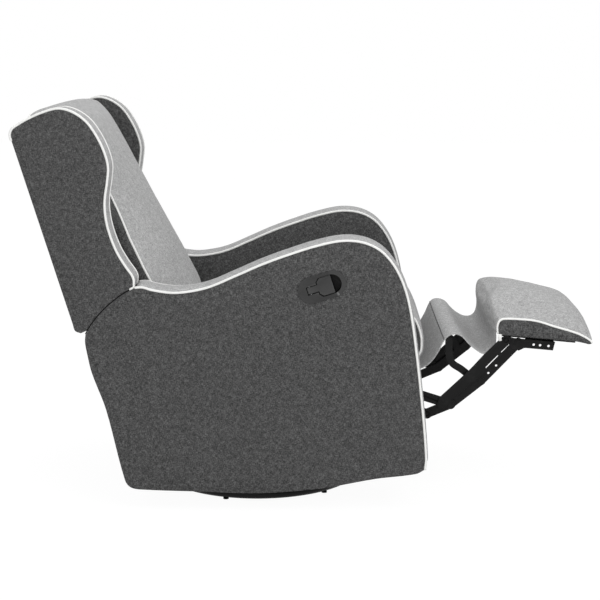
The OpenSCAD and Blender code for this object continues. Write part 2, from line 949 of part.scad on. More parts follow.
module footrest_pad() {
  // Round the pad from its rear bottom edge over the top: length share, height share, share of the crown.
  pad_shares = [
    [0.060, 0, 0], [0.010, 0.03, 0], [-0.002, 0.25, 0.1], [0.010, 0.52, 0.3], [0.055, 0.79, 0.6],
    [0.115, 0.92, 0.85], [0.220, 0.99, 1], [0.395, 1.00, 1], [0.594, 0.84, 1], [0.797, 0.70, 0.8],
    [0.905, 0.50, 0.5], [0.985, 0.18, 0.15], [1, 0.06, 0], [0.970, -0.08, 0], [0.930, -0.08, 0], [0.860, 0, 0]
  ];
  // Across the pad: width share, crown share, and how far the edge draws in as a share of the length.
  width_shares = [
    [-1, 0, 0.012], [-0.94, 0.22, 0], [-0.75, 0.62, 0], [-0.4, 0.93, 0], [0, 1, 0],
    [0.4, 0.93, 0], [0.75, 0.62, 0], [0.94, 0.22, 0], [1, 0, 0.012]
  ];
  base = footrest_board_t + deck_gap;
  color("#b0b0b0") tilted()
    skin([
      for (w = width_shares) [
        for (p = pad_shares)
          let (s = footrest_at([
            -pad_rear + p.x * pad_length,
            base + p.y * pad_thickness + p.z * w.y * pad_crown
          ]))
          [s.x, w.x * pad_width / 2, s.y]
      ]
    ]);
}

// Back.

wing_rear_x = -482;
wing_z = 490;
wing_shares = [
  [1.000, 0.212], [0.988, 0.234], [0.930, 0.283], [0.864, 0.353], [0.818, 0.441], [0.806, 0.519],
  [0.822, 0.584], [0.868, 0.660], [0.897, 0.725], [0.880, 0.790], [0.831, 0.859], [0.748, 0.929],
  [0.628, 0.978], [0.496, 1.000], [0.339, 0.991], [0.174, 0.968], [0.062, 0.946]
];
// The straight rear edge of a wing, from its top corner down to the arm.
wing_rear_shares = [[0.020, 0.934], [0.000, 0.912], [0.000, 0.885], [0.339, 0.045], [0.352, 0.014], [0.405, 0.000]];
wing_from = 140;
wing_to = 110.5;
wing_steps = 6;
wing_r = shoulder_r + shoulder_gap;
function wing_box(shares) = in_box(shares, wing_rear_x, wing_z, wing_depth, wing_height);
function turned_round(p) = [for (i = [len(p) - 1:-1:0]) p[i]];

wing_curve = turned_round(concat(
  arc(recline, wing_r, wing_from, wing_to, wing_steps),
  smooth(wing_box(wing_shares), 2),
  wing_box(wing_rear_shares)
));
// The bulge is left out along the arc that passes the arm, and fades out towards the rear edge.
wing_crown_shares = [
  for (i = [0:len(wing_curve) - 1])
    i < 3 || i >= len(wing_curve) - wing_steps - 2 ? 0 : min(1, max(0, 1 + normal_at(wing_curve, i).x))
];
wing_out = arm_out - wing_set_back;
wing_in = wing_out - wing_width;
// The straight rear line of the back, as shares of a wing.
back_line_shares = [[0.405, 0], [0, 0.885]];
back_low = wing_box(back_line_shares)[0];
back_high = wing_box(back_line_shares)[1];

// A place on the rear line of the back at a height, moved forward by a depth.
function rear_line(z, depth) =
  [back_low.x + (back_high.x - back_low.x) * (z - back_low.y) / (back_high.y - back_low.y) + depth, z];

// A height on the back, as a share of the height of a wing.
function back_z(share) = wing_z + wing_height * share;

// The post ends, the middle rail, the webbing straps and the rear panel's top, as shares of that height.
post_low = back_z(0.123);
post_high = back_z(0.855);
middle_rail = back_z(0.474);
strap_shares = [0.167, 0.335, 0.502, 0.669];
shell_top = back_z(0.926);
shell_lean = 4;
bracket_t = 3;
bracket_width = 26;
recline_pin_r = 6;
ear_gap = 1;
// The posts carry the recline brackets on their outer faces, just inside the arms.
bracket_y = arm_in - 2 * bracket_t - ear_gap;
post_y = bracket_y - post_width;
// Gap between pieces that are fastened face to face on a slope
seat_gap = 0.05;

module back_shell() {
  color("#565656") tilted() across(-wing_in, wing_in)
    polygon([
      rear_line(back_low.y, 0), rear_line(back_high.y, 0), rear_line(shell_top, shell_lean),
      rear_line(shell_top, back_panel), rear_line(back_low.y, back_panel)
    ]);
}

// A member of the back frame in side view, from one height to another.
module back_member(low, high, depth) {
  polygon([
    rear_line(low, back_panel + seat_gap), rear_line(high, back_panel + seat_gap),
    rear_line(high, back_panel + depth), rear_line(low, back_panel + depth)
  ]);
}

module back_frame() {
  rail = 50;
  rail_depth = post_depth * 0.6;
  rail_places = [post_low, middle_rail, post_high - rail];
  color("#c9a16b") tilted() {
    both_sides() across(post_y, post_y + post_width) back_member(post_low, post_high, post_depth);
    for (z = rail_places)
      across(-post_y, post_y) back_member(z, z + rail, rail_depth);
    for (i = [1, 2])
      both_sides() across(post_y + post_width, wing_in)
        back_member(rail_places[i], rail_places[i] + rail, rail_depth);
  }
}

module back_webbing() {
  strap = 50;
  front = back_panel + post_depth + seat_gap;
  color("#3a3a3a") tilted()
    for (z = [for (share = strap_shares) back_z(share)])
      across(-post_y - post_width, post_y + post_width)
        polygon([
          rear_line(z, front), rear_line(z + strap, front),
          rear_line(z + strap, front + webbing), rear_line(z, front + webbing)
        ]);
}

// Level rings of the back cushion from its bottom up: height share, depth of the rear and of the front ahead
// of the rear line of the back, place between the low and the high half width, and how far the ends draw in.
cushion_low_shares = [
  [-0.022, 0.643, 0.915, 0, 0.184], [-0.007, 0.629, 0.997, 0, 0.066], [0.028, 0.604, 1.033, 0, 0],
  [0.078, 0.569, 1.027, 0, 0], [0.123, 0.540, 1.015, 0, 0], [0.154, 0, 1.004, 0, 0], [0.242, 0, 0.970, 0, 0],
  [0.377, 0, 0.916, 0.22, 0], [0.511, 0, 0.854, 0.855, 0], [0.643, 0, 0.798, 1, 0], [0.771, 0, 0.741, 1, 0],
  [0.864, 0, 0.697, 1, 0]
];
// The rings over the top of the back frame, whose rear starts from the rear panel.
cushion_top_shares = [
  [0.868, 0, 0.695, 1, 0], [0.9145, 0.008, 0.662, 1, 0], [0.952, 0.050, 0.626, 1, 0],
  [0.981, 0.140, 0.573, 1, 0.158], [0.994, 0.231, 0.480, 1, 0.526]
];
back_cushion_gap = 1;

module back_cushion() {
  low_half = bracket_y - back_cushion_gap;
  high_half = wing_in - deck_gap;
  frame_front = back_panel + post_depth + webbing + 2 * deck_gap;
  lip = back_panel + deck_gap;
  function ring(s, rear) =
    let (z = back_z(s[0]), half = low_half + (high_half - low_half) * s[3] - wing_width * s[4])
    cushion_ring(rear_line(z, rear).x, rear_line(z, wing_depth * s[2]).x, half, z, back_squareness);
  color("#b0b0b0") tilted()
    skin(concat(
      [for (s = cushion_low_shares) ring(s, max(frame_front, wing_depth * s[1]))],
      [for (s = cushion_top_shares) ring(s, lip + wing_depth * s[1])]
    ));
}

module wing_left() {
  color("#565656") tilted() padded_panel(wing_curve, wing_in, wing_out, band_crown, wing_crown_shares);
}

module wing_right() {
  color("#565656") tilted() mirror([0, 1, 0])
    padded_panel(wing_curve, wing_in, wing_out, band_crown, wing_crown_shares);
}

// The bracket climbs steeply first, so that it clears the rear panel while the back reclines.
knee_reach = [-106, 262];
ear_reach = [60, 12];
bracket_knee = recline + knee_reach;
bracket_top = rear_line(back_z(0.279), back_panel + post_depth / 2);

module back_brackets() {
  color("#2a2a2a") tilted() both_sides()
    across(bracket_y, bracket_y + bracket_t)
      difference() {
        chain([recline, bracket_knee, bracket_top], bracket_width);
        hole(recline, recline_pin_r + rivet_clearance);
      }
}

module recline_ears() {
  ear_y = bracket_y + bracket_t + ear_gap;
  color("#2a2a2a") tilted() both_sides() {
    across(ear_y, ear_y + bracket_t) bar(recline, recline + ear_reach, bracket_width);
    rod(recline_x, recline_z, recline_pin_r, bracket_y, ear_y + over);
  }
}

// Release handle.

bezel_lip = 6;
bezel_t = 3;
handle_pin_r = 2;
stem_end = -36;
head_left = -10;
cup_right = 48;
cup_margin = 1.5;
cup_merge = 4;
corner_cut = 12;
pin_inset = 6;

module at_handle() {
  translate([handle_x, -arm_out, handle_z]) rotate([0, -handle_slope, 0]) rotate([90, 0, 0]) children();
}

// A slot shape with round ends, centred.
module stadium(length, height) {
  for (s = [-1, 1]) translate([s * (length - height) / 2, 0]) circle(d = height);
  square([length - height, height], center = true);
}

// The T-shaped pocket for the paddle, larger than the paddle by a margin.
module paddle_outline(margin, right) {
  translate([stem_end - margin, -paddle_stem / 2 - margin])
    square([head_left - stem_end + 2 * margin + over, paddle_stem + 2 * margin]);
  difference() {
    translate([head_left - margin, -paddle_head / 2 - margin])
      square([right - head_left + 2 * margin, paddle_head + 2 * margin]);
    for (side = [-1, 1])
      translate([head_left - margin, side * (paddle_head / 2 + margin)]) rotate(45)
        square(corner_cut, center = true);
  }
}

module cup_pocket(margin) {
  round_r = paddle_head / 2 + margin;
  paddle_outline(margin, cup_right - round_r - cup_merge);
  translate([cup_right - round_r, 0]) circle(r = round_r);
}

module handle_surround() {
  color("#2b2b2b") tilted() at_handle()
    difference() {
      union() {
        linear_extrude(bezel_t) stadium(bezel_length, bezel_height);
        translate([0, 0, -cup_depth])
          linear_extrude(cup_depth) stadium(bezel_length - 2 * bezel_lip, bezel_height - 2 * bezel_lip);
      }
      translate([0, 0, -cup_depth + cup_wall])
        linear_extrude(cup_depth + bezel_t + over) cup_pocket(cup_margin);
    }
}

module handle_pin() {
  color("silver") tilted() at_handle()
    translate([stem_end + pin_inset, 0, -paddle_t / 2]) rotate([-90, 0, 0])
      translate([0, 0, -paddle_stem / 2 - cup_margin])
        cylinder(r = handle_pin_r, h = paddle_stem + 2 * cup_margin);
}

module handle_paddle() {
  right = stem_end + paddle_length;
  color("#333333") tilted() at_handle()
    difference() {
      translate([0, 0, -paddle_t]) linear_extrude(paddle_t) paddle_outline(0, right);
      translate([stem_end + pin_inset, 0, -paddle_t / 2]) rotate([-90, 0, 0])
        translate([0, 0, -paddle_stem / 2 - over])
          cylinder(r = handle_pin_r + rivet_clearance, h = paddle_stem + 2 * over);
    }
}

// Route of the release cable, from behind the finger cup to the latch, chosen by hand: share of the way, bend
// towards the rear as a share of the surround's length, and share of the arm's width outside its inner face.
cable_shares = [
  [0.027, 0.216, 0.75], [0.067, 0.240, 0.62], [0.168, 0.273, 0.54], [0.337, 0.300, 0.50], [0.539, 0.316, 0.48],
  [0.741, 0.314, 0.46], [0.892, 0.305, 0.40], [0.976, 0.267, 0.30], [1.017, 0.181, 0.16], [1.010, 0.078, 0.02]
];
// Then it goes through the side rail to the plate, in shares of the rail's width inside the arm.
cable_rail_shares = [0.43, 0.75, 1.09];
cable_from = [handle_x, handle_z];
cable_route = concat(
  [
    for (s = cable_shares)
      let (p = cable_from + (cable_end - cable_from) * s[0])
      [p.x - bezel_length * s[1], -arm_in - arm_width * s[2], p.y]
  ],
  [for (share = cable_rail_shares) [cable_end.x, -arm_in + side_rail_width * share, cable_end.y]]
);
cable_sides = 8;
horn_reach = [-22, -16];

function unit(v) = v / norm(v);

module release_cable() {
  route = smooth(cable_route, 3);
  n = len(route);
  color("#151515") tilted()
    skin([
      for (i = [0:n - 1])
        let (
          t = unit(route[min(i + 1, n - 1)] - route[max(i - 1, 0)]),
          u = unit(cross(t, [1, 0, 0])),
          v = cross(t, u)
        )
        [for (k = [0:cable_sides - 1]) route[i] + cable_r * (cos(360 * k / cable_sides) * u + sin(360 * k / cable_sides) * v)]
    ]);
}

module release_latch() {
  arm = 11;
  stud_r = 3;
  stud = crank_pivot + (hub_cam_r + stud_r + latch_gap) * [cos(150), sin(150)];
  horn = latch_pivot + horn_reach;
  color("#3a3a3a") tilted() {
    across(-layer_y(1) - plate, -layer_y(1))
      difference() {
        chain([stud, latch_pivot, horn], arm);
        hole(latch_pivot, rivet_r + rivet_clearance);
      }
    rod(stud.x, stud.y, stud_r, -layer_y(1) - plate / 2, -layer_y(2));
  }
}

base_ring();
floor_pads();
swivel_lower_plate();
swivel_bearing();
swivel_bolt();
swivel_upper_plate();
glider_base();
glide_upper_pins();
glide_links_front();
glide_links_rear();
glide_plate_left();
glide_plate_right();
glide_cross_tubes();
glide_lower_pins();
tilt_shaft();
arm_pad_left();
arm_pad_right();
arm_frame_left();
arm_frame_right();
seat_frame();
seat_springs();
seat_cushion();
leg_flap();
rear_panel();
rear_rails();
mechanism_plate_left();
mechanism_plate_right();
mechanism_pivots();
recline_ears();
handle_surround();
handle_pin();
release_cable();
crank_left();
crank_right();
torque_tube();
crank_rivets();
control_links();
beam_left();
beam_right();
beam_rivets();
flap_support();
coupler_left();
coupler_right();
footrest_bracket_left();
footrest_bracket_right();
footrest_rivets();
footrest_board();
footrest_pad();
back_frame();
back_webbing();
back_shell();
back_cushion();
wing_left();
wing_right();
back_brackets();
handle_paddle();
release_latch();
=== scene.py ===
# %% [markdown]
# A swivel glider recliner, seen from its right side with the footrest open.
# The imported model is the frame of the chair: every solid already stands in its place, in metres.
# This lesson dresses it, with upholstery over the soft solids and a finish for every steel, wood and plastic part.

# %% Load the frame
import math
import bmesh
import bpy
from mathutils import Matrix, Vector, geometry, kdtree


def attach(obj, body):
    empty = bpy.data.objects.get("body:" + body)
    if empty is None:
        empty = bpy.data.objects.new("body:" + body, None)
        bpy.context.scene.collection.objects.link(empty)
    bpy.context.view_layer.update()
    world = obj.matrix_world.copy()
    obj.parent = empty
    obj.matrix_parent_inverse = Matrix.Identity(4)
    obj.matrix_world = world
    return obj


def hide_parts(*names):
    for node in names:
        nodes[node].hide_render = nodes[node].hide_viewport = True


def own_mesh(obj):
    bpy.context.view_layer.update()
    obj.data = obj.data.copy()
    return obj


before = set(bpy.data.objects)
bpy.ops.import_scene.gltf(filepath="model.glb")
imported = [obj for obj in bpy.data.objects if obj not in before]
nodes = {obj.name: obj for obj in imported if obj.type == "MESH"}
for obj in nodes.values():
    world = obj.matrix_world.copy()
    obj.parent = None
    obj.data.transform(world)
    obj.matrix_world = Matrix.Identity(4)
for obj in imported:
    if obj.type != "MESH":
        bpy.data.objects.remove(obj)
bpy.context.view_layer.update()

scene = bpy.context.scene

# %% [markdown]
# The chair was measured standing level, in millimetres, with X forward from the swivel, Y to the sitter's left and Z
# up. With its footrest open it leans back 6.5 degrees about the tilt shaft, and the frame stands 134 mm further back.
# One matrix does all of it, so every piece below is drawn level and still lands on its solid.

# %% From the level chair to the frame
LEAN = math.radians(6.5)
LEVEL = (
    Matrix.Translation((-0.134, 0, 0.2))
    @ Matrix.Rotation(-LEAN, 4, "Y")
    @ Matrix.Translation((0, 0, -0.2))
    @ Matrix.Scale(0.001, 4)
)
RIGHT, LEFT = -1, 1
SIDES = ((LEFT, "left"), (RIGHT, "right"))


def placed(points):
    """Points of the level chair, in millimetres, as places in the frame."""
    return [LEVEL @ Vector(p) for p in points]


print("the front of an arm stands at", placed([(414, 350, 300)])[0])

# %% [markdown]
# The camera is a long lens, low over the floor and looking slightly down, as a furniture photographer sets it.
# Its place was worked out from the edges of the arm, the wing and the footrest, whose sizes are known from the frame.

# %% Camera
TURN, DROP = math.radians(-1.142), math.radians(10.257)
CAMERA_PLACE = (0.050, -3.83, 1.1593)
look_right = Vector((math.cos(TURN), -math.sin(TURN), 0))
look_ahead = Vector((math.sin(TURN) * math.cos(DROP), math.cos(TURN) * math.cos(DROP), -math.sin(DROP)))
facing = Matrix((look_right, look_right.cross(look_ahead), -look_ahead)).transposed().to_4x4()
camera_data = bpy.data.cameras.new("camera")
camera_data.lens = 88.86
camera_data.sensor_width = 36
camera_data.clip_end = 60
camera = bpy.data.objects.new("camera", camera_data)
camera.matrix_world = Matrix.Translation(CAMERA_PLACE) @ facing
scene.collection.objects.link(camera)
scene.camera = camera
print("camera at", camera.matrix_world.translation)

# %% [markdown]
# A finish is a small tree of nodes. One helper adds a node with its settings and links, and one turns a colour
# written as on a paint card into the linear values that the renderer counts in. The short helpers make what most
# finishes need, and each gives back a (node, output) pair, ready to be linked from.

# %% Helpers for finishes
def colour(code):
    """A #rrggbb colour as linear red, green, blue and alpha."""
    parts = [int(code[i:i + 2], 16) / 255 for i in (1, 3, 5)]
    return [c / 12.92 if c <= 0.04045 else ((c + 0.055) / 1.055) ** 2.4 for c in parts] + [1]


def fill_in(tree, node, inputs):
    """Sets a node's inputs, each to a value or to a link from a (node, output) pair."""
    for key, value in inputs.items():
        if isinstance(value, tuple) and isinstance(value[0], bpy.types.Node):
            tree.links.new(value[0].outputs[value[1]], node.inputs[key])
        else:
            node.inputs[key].default_value = value


def add(tree, kind, inputs=None, **settings):
    """A node with its settings and inputs."""
    node = tree.nodes.new(kind)
    for name, value in settings.items():
        setattr(node, name, value)
    fill_in(tree, node, inputs or {})
    return node


def mapped(tree, at, **turns):
    return add(tree, "ShaderNodeMapping", {"Vector": at, **turns}), "Vector"


def noise(tree, at, scale, detail=2, **more):
    return add(tree, "ShaderNodeTexNoise", {"Vector": at, "Scale": scale, "Detail": detail, **more}), "Fac"


def maths(tree, operation, *values):
    return add(tree, "ShaderNodeMath", dict(enumerate(values)), operation=operation), 0


def ranged(tree, factor, low, high, **more):
    return add(tree, "ShaderNodeMapRange", {"Value": factor, "To Min": low, "To Max": high, **more}), "Result"


def tinted(tree, base, share):
    return add(tree, "ShaderNodeVectorMath", {0: base, "Scale": share}, operation="SCALE"), 0


def bumps(tree, height, strength, distance, **more):
    inputs = {"Height": height, "Strength": strength, "Distance": distance, **more}
    return add(tree, "ShaderNodeBump", inputs), "Normal"


def shades(tree, factor, first, last, middle=None):
    """A colour ramp. Its ends, and perhaps its middle, are (position, colour) pairs."""
    ramp = add(tree, "ShaderNodeValToRGB", {"Fac": factor})
    for stop, (position, code) in zip(ramp.color_ramp.elements, (first, last)):
        stop.position = position
        stop.color = colour(code)
    if middle:
        ramp.color_ramp.elements.new(middle[0]).color = colour(middle[1])
    return ramp, "Color"


def empty_tree(block):
    """The node tree of a new material or world, with nothing in it."""
    block.use_nodes = True
    block.node_tree.nodes.clear()
    return block.node_tree


def new_finish(name):
    """An empty material with its output and shader, and the object's own coordinates."""
    finish = bpy.data.materials.new(name)
    tree = empty_tree(finish)
    shader = add(tree, "ShaderNodeBsdfPrincipled")
    add(tree, "ShaderNodeOutputMaterial", {"Surface": (shader, "BSDF")})
    return finish, tree, shader, (add(tree, "ShaderNodeTexCoord"), "Object")


print("a mid grey card is", [round(c, 3) for c in colour("#808080")])

# %% [markdown]
# The cover is a heather cloth: yarns spun from light and dark fibres, woven plain, so it looks mottled from near
# and grey from afar. A printed pattern could show each thread, but at this distance a thread is finer than a pixel.
# What the eye keeps is short slubs both along and across, a blotch of the yarn's own colour and a dull, soft sheen.
# Threads are 0.8 mm apart on the real cloth, and are drawn about 2 mm apart so that they still show.

# %% Heather cloth
def heather(name, shade, dark, light, sheen):
    """A woven cloth whose yarns mix a dark and a light fibre."""
    finish, tree, shader, place = new_finish(name)
    slubs = []
    for size in ((150, 620, 620), (620, 620, 150), (620, 150, 620)):
        slubs.append(noise(tree, mapped(tree, place, Scale=size), 1, 1.5, Roughness=0.55))
    three = maths(tree, "ADD", maths(tree, "ADD", slubs[0], slubs[1]), slubs[2])
    yarn = maths(tree, "MULTIPLY", three, 1 / 3)
    mixed = maths(tree, "MULTIPLY_ADD", noise(tree, place, 95, 3, Roughness=0.6), 0.22, yarn)
    ramp = shades(tree, mixed, (0.51, dark), (0.71, light), (0.61, shade))
    wear = ranged(tree, noise(tree, place, 7), 0.94, 1.05)
    threads = bumps(tree, yarn, 0.35, 0.0006)
    fill_in(tree, shader, {
        "Base Color": tinted(tree, ramp, wear),
        "Normal": bumps(tree, noise(tree, place, 16), 0.25, 0.004, Normal=threads),
        "Roughness": 0.92, "Sheen Weight": sheen, "Sheen Roughness": 0.5, "Specular IOR Level": 0.2,
    })
    return finish


dark_cloth = heather("dark_heather_weave", "#494949", "#323232", "#686868", 0.03)
light_cloth = heather("light_heather_weave", "#ababab", "#909090", "#c6c6c6", 0.03)
print("cloths:", dark_cloth.name, light_cloth.name)

# %% [markdown]
# The piping is a cord in a strip of white cotton sateen, sewn into each seam. It is plain and a little shiny,
# with the diagonal of the bias cut in it.

# %% Piping cloth
def sateen(name, shade):
    """A smooth cloth cut on the bias, with fine diagonal lines."""
    finish, tree, shader, place = new_finish(name)
    turned = mapped(tree, place, Rotation=(0.6, 0.8, 0.3))
    wave = {"Vector": turned, "Scale": 160, "Distortion": 1.5, "Detail": 1}
    twill = add(tree, "ShaderNodeTexWave", wave), "Fac"
    fill_in(tree, shader, {
        "Base Color": tinted(tree, colour(shade)[:3], ranged(tree, twill, 0.93, 1)),
        "Normal": bumps(tree, twill, 0.3, 0.0003), "Roughness": 0.6, "Sheen Weight": 0.1,
    })
    return finish


white_piping = sateen("white_cotton_sateen", "#f6f6f4")
print("piping:", white_piping.name)

# %% [markdown]
# The linkage, the ring and the glider are mild steel, powder coated in black. Baked powder flows but never quite
# levels, so it keeps a fine orange peel, and it rubs to a lighter grey where plates touch. It is a matt coat, which
# mirrors far less of a white room than bare enamel would, so it stays nearly black.

# %% Powder-coated steel
def powder_coat(name, shade, rubbed, roughness):
    """A matt baked coat with orange peel, rubbed lighter in places."""
    finish, tree, shader, place = new_finish(name)
    rub = noise(tree, place, 38, 5, Roughness=0.7)
    fill_in(tree, shader, {
        "Base Color": shades(tree, rub, (0.5, shade), (0.78, rubbed)),
        "Roughness": ranged(tree, rub, roughness - 0.08, roughness + 0.12),
        "Normal": bumps(tree, noise(tree, place, 900), 0.15, 0.0003), "Specular IOR Level": 0.14,
    })
    return finish


black_steel = powder_coat("black_powder_coated_steel", "#131313", "#202020", 0.42)
print("steel:", black_steel.name)

# %% [markdown]
# Rivets, pins and the bearing are zinc plated. The plating is a thin bluish grey skin over drawn steel,
# so it is a metal, with faint drawing lines and a cloudy roughness instead of a mirror.

# %% Zinc-plated steel
def zinc_plate(name, shade, clouded):
    """A thin cloudy plating over drawn steel."""
    finish, tree, shader, place = new_finish(name)
    cloud = noise(tree, place, 120, 4)
    lines = noise(tree, mapped(tree, place, Scale=(1500, 60, 1500)), 1)
    fill_in(tree, shader, {
        "Base Color": shades(tree, cloud, (0, shade), (1, clouded)), "Roughness": ranged(tree, cloud, 0.3, 0.5),
        "Normal": bumps(tree, lines, 0.12, 0.0002), "Metallic": 1,
    })
    return finish


zinc_steel = zinc_plate("zinc_plated_steel", "#a9adb0", "#c3c6c8")
print("plating:", zinc_steel.name)

# %% [markdown]
# The handle and its finger cup are moulded ABS. The mould was spark eroded, so the skin has a fine grain that
# breaks up the gloss. Its edges are painted lighter, as a painted highlight, and below its rim the cup is painted
# darker with its depth, as a painted shade, which is measured across the chair.

# %% Moulded plastic
CUP_RIM, CUP_FLOOR = -0.3495, -0.341


def moulded(name, shade, edge_highlight, roughness, recess_shade):
    """A grained plastic with a painted highlight on its edges, and painted shade that darkens it by a share towards the
    floor of the finger cup.
    """
    finish, tree, shader, place = new_finish(name)
    grain = add(tree, "ShaderNodeTexVoronoi", {"Vector": place, "Scale": 1100}), "Distance"
    edge = add(tree, "ShaderNodeNewGeometry"), "Pointiness"
    spot = add(tree, "ShaderNodeSeparateXYZ", {"Vector": place}), "Y"
    recess_shading = ranged(tree, spot, 1, recess_shade, **{"From Min": CUP_RIM, "From Max": CUP_FLOOR})
    fill_in(tree, shader, {
        "Base Color": tinted(tree, shades(tree, edge, (0.5, shade), (0.62, edge_highlight)), recess_shading),
        "Normal": bumps(tree, grain, 0.2, 0.0002), "Roughness": roughness, "IOR": 1.53, "Specular IOR Level": 0.12,
    })
    return finish


# The second colour is a painted highlight on the edges; the last number is the painted shade at the floor of the cup.
black_plastic = moulded("moulded_black_abs", "#161616", "#6a6a6a", 0.42, 0.1)
cable_cover = moulded("extruded_cable_sheath", "#141414", "#202020", 0.5, 1)
rubber = moulded("moulded_rubber", "#121212", "#1d1d1d", 0.8, 1)
print("plastics:", black_plastic.name, cable_cover.name, rubber.name)

# %% [markdown]
# Inside the covers the frame is birch plywood: pale, with long grain lines 2 to 4 mm apart and darker glue lines.
# It shows only from below and behind, but a frame without grain would look like cardboard there.

# %% Plywood and webbing
def plywood_sheet(name, pale, line):
    """Peeled wood with its grain along the chair."""
    finish, tree, shader, place = new_finish(name)
    grain = noise(tree, mapped(tree, place, Scale=(14, 320, 320)), 1, 4, Distortion=0.4)
    fill_in(tree, shader, {
        "Base Color": shades(tree, grain, (0.35, line), (0.6, pale)), "Normal": bumps(tree, grain, 0.2, 0.0004),
        "Roughness": 0.65,
    })
    return finish


plywood = plywood_sheet("birch_plywood", "#cba877", "#a37b4b")
webbing = heather("elastic_webbing", "#2f2f2f", "#232323", "#3e3e3e", 0.02)
dust_cloth = heather("black_dust_cloth", "#1c1c1c", "#151515", "#242424", 0.02)
print("inner finishes:", plywood.name, webbing.name)

# %% [markdown]
# Every solid that stays in view takes one of these finishes. The names of the solids say what each one is made of.
# Pressed plates have edges rounded by the press, which catch the light, so a narrow bevel finishes them.

# %% Dress the solids
MADE_OF = (
    (zinc_steel, "swivel_bearing swivel_bolt glide_upper_pins glide_lower_pins tilt_shaft seat_springs handle_pin"),
    (plywood, "arm_frame_left arm_frame_right seat_frame rear_rails back_frame"),
    (dust_cloth, "footrest_board"), (webbing, "back_webbing"), (rubber, "floor_pads"),
    (cable_cover, "release_cable"), (black_plastic, "handle_surround handle_paddle"),
)
FINISHES = {name: finish for finish, names in MADE_OF for name in names.split()}
BEVELS = {"handle_surround": 0.0011, "handle_paddle": 0.0014}
PLATE_BEVEL = 0.0005
NO_BEVEL = ("arm_", "wing_", "back_s", "back_c", "seat_", "foot", "leg_", "rear_")
for name, solid in nodes.items():
    finish = FINISHES.get(name, black_steel)
    solid.data.materials.clear()
    solid.data.materials.append(finish)
    if finish in (black_steel, black_plastic) and not name.startswith(NO_BEVEL):
        weld = solid.modifiers.new("joined_corners", "WELD")
        weld.merge_threshold = 0.00001
        bevel = solid.modifiers.new("pressed_edges", "BEVEL")
        bevel.width = BEVELS.get(name, PLATE_BEVEL)
        bevel.segments = 2
        bevel.limit_method = "ANGLE"
        bevel.angle_limit = math.radians(35)
print("dressed", len(nodes), "solids")

# %% [markdown]
# Outlines are drawn as a few measured places with a smooth line through them. Each stretch is a Bezier curve whose
# handles follow the line between the neighbouring places, so the line neither kinks nor overshoots.

# %% Smooth lines
def through(points, steps=6, corners=()):
    """Places along a smooth line through the points, which turns sharply at the corners."""
    given = [Vector(p).to_3d() for p in points]
    last = len(given) - 1

    def heading(i, chord):
        if i in (0, last) or i in corners:
            return chord
        return (given[i + 1] - given[i - 1]).normalized()

    line = []
    for i in range(last):
        a, b = given[i], given[i + 1]
        chord = (b - a).normalized()
        reach = (b - a).length / 3
        leaving, arriving = a + heading(i, chord) * reach, b - heading(i + 1, chord) * reach
        line += geometry.interpolate_bezier(a, leaving, arriving, b, steps + 1)[:-1]
    return line + [given[last]]


def around(centre, radius, start, stop, steps):
    """Places on an arc, with its angles in degrees."""
    turns = [math.radians(start + (stop - start) * i / steps) for i in range(steps + 1)]
    return [Vector((centre[0] + radius * math.cos(t), centre[1] + radius * math.sin(t), 0)) for t in turns]


def in_box(shares, x, z, width, height):
    """Places given as shares of a box."""
    return [Vector((x + a * width, z + b * height, 0)) for a, b in shares]


print("a quarter circle has", len(around((0, 0), 1, 0, 90, 8)), "places")

# %% [markdown]
# A few helpers turn bmesh work into pieces. The first gives the mesh its finishes, marks its hard edges and lets it
# ride on a body of the frame. The last makes a cord along a line, by giving a curve a round section.

# %% Pieces
def piece(name, bm, body, finishes, sharp=None):
    """A finished object from a bmesh that is already in its place."""
    bmesh.ops.recalc_face_normals(bm, faces=bm.faces)
    for face in bm.faces:
        face.smooth = True
    if sharp:
        for edge in bm.edges:
            edge.smooth = not (edge.is_manifold and edge.calc_face_angle(0) > math.radians(sharp))
    mesh = bpy.data.meshes.new(name)
    bm.to_mesh(mesh)
    bm.free()
    for finish in finishes:
        mesh.materials.append(finish)
    obj = bpy.data.objects.new(name, mesh)
    scene.collection.objects.link(obj)
    if body:
        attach(obj, body)
    return obj


def applied(obj):
    """The object's mesh with its modifiers applied."""
    ready = obj.evaluated_get(bpy.context.evaluated_depsgraph_get())
    mesh = bpy.data.meshes.new_from_object(ready)
    obj.modifiers.clear()
    obj.data = mesh
    return obj


def curve_mesh(name, lines, closed, **settings):
    """The mesh of a curve through lines of places."""
    data = bpy.data.curves.new(name, "CURVE")
    for setting, value in settings.items():
        setattr(data, setting, value)
    for line in lines:
        spline = data.splines.new("POLY")
        spline.points.add(len(line) - 1)
        for point, place in zip(spline.points, line):
            point.co = (*place, 1)
        spline.use_cyclic_u = closed
    drawn = bpy.data.objects.new(name, data)
    scene.collection.objects.link(drawn)
    mesh = bpy.data.meshes.new_from_object(drawn.evaluated_get(bpy.context.evaluated_depsgraph_get()))
    bpy.data.objects.remove(drawn)
    return mesh


def welded(mesh, reach):
    """A bmesh of the mesh with its doubled corners joined."""
    bm = bmesh.new()
    bm.from_mesh(mesh)
    bmesh.ops.remove_doubles(bm, verts=bm.verts, dist=reach)
    return bm


def cord_along(name, lines, radius, body, finish=white_piping, sides=3):
    """Round cords along lines of places in the frame."""
    section = {"dimensions": "3D", "bevel_depth": radius, "bevel_resolution": sides, "use_fill_caps": True}
    return piece(name, welded(curve_mesh(name, lines, False, **section), 0.00001), body, [finish])


PIPING = 0.0029
print("piping is", PIPING * 2000, "mm thick")

# %% [markdown]
# A cushion, an arm and a wing are all a skin over a row of rings. Each ring starts as a bmesh circle whose corners
# take the ring's places, and bridge_loops joins each ring to the next. Every corner keeps its number along the ring,
# its station, so that later steps can find a stretch of the seam again. Each end is filled with one face.

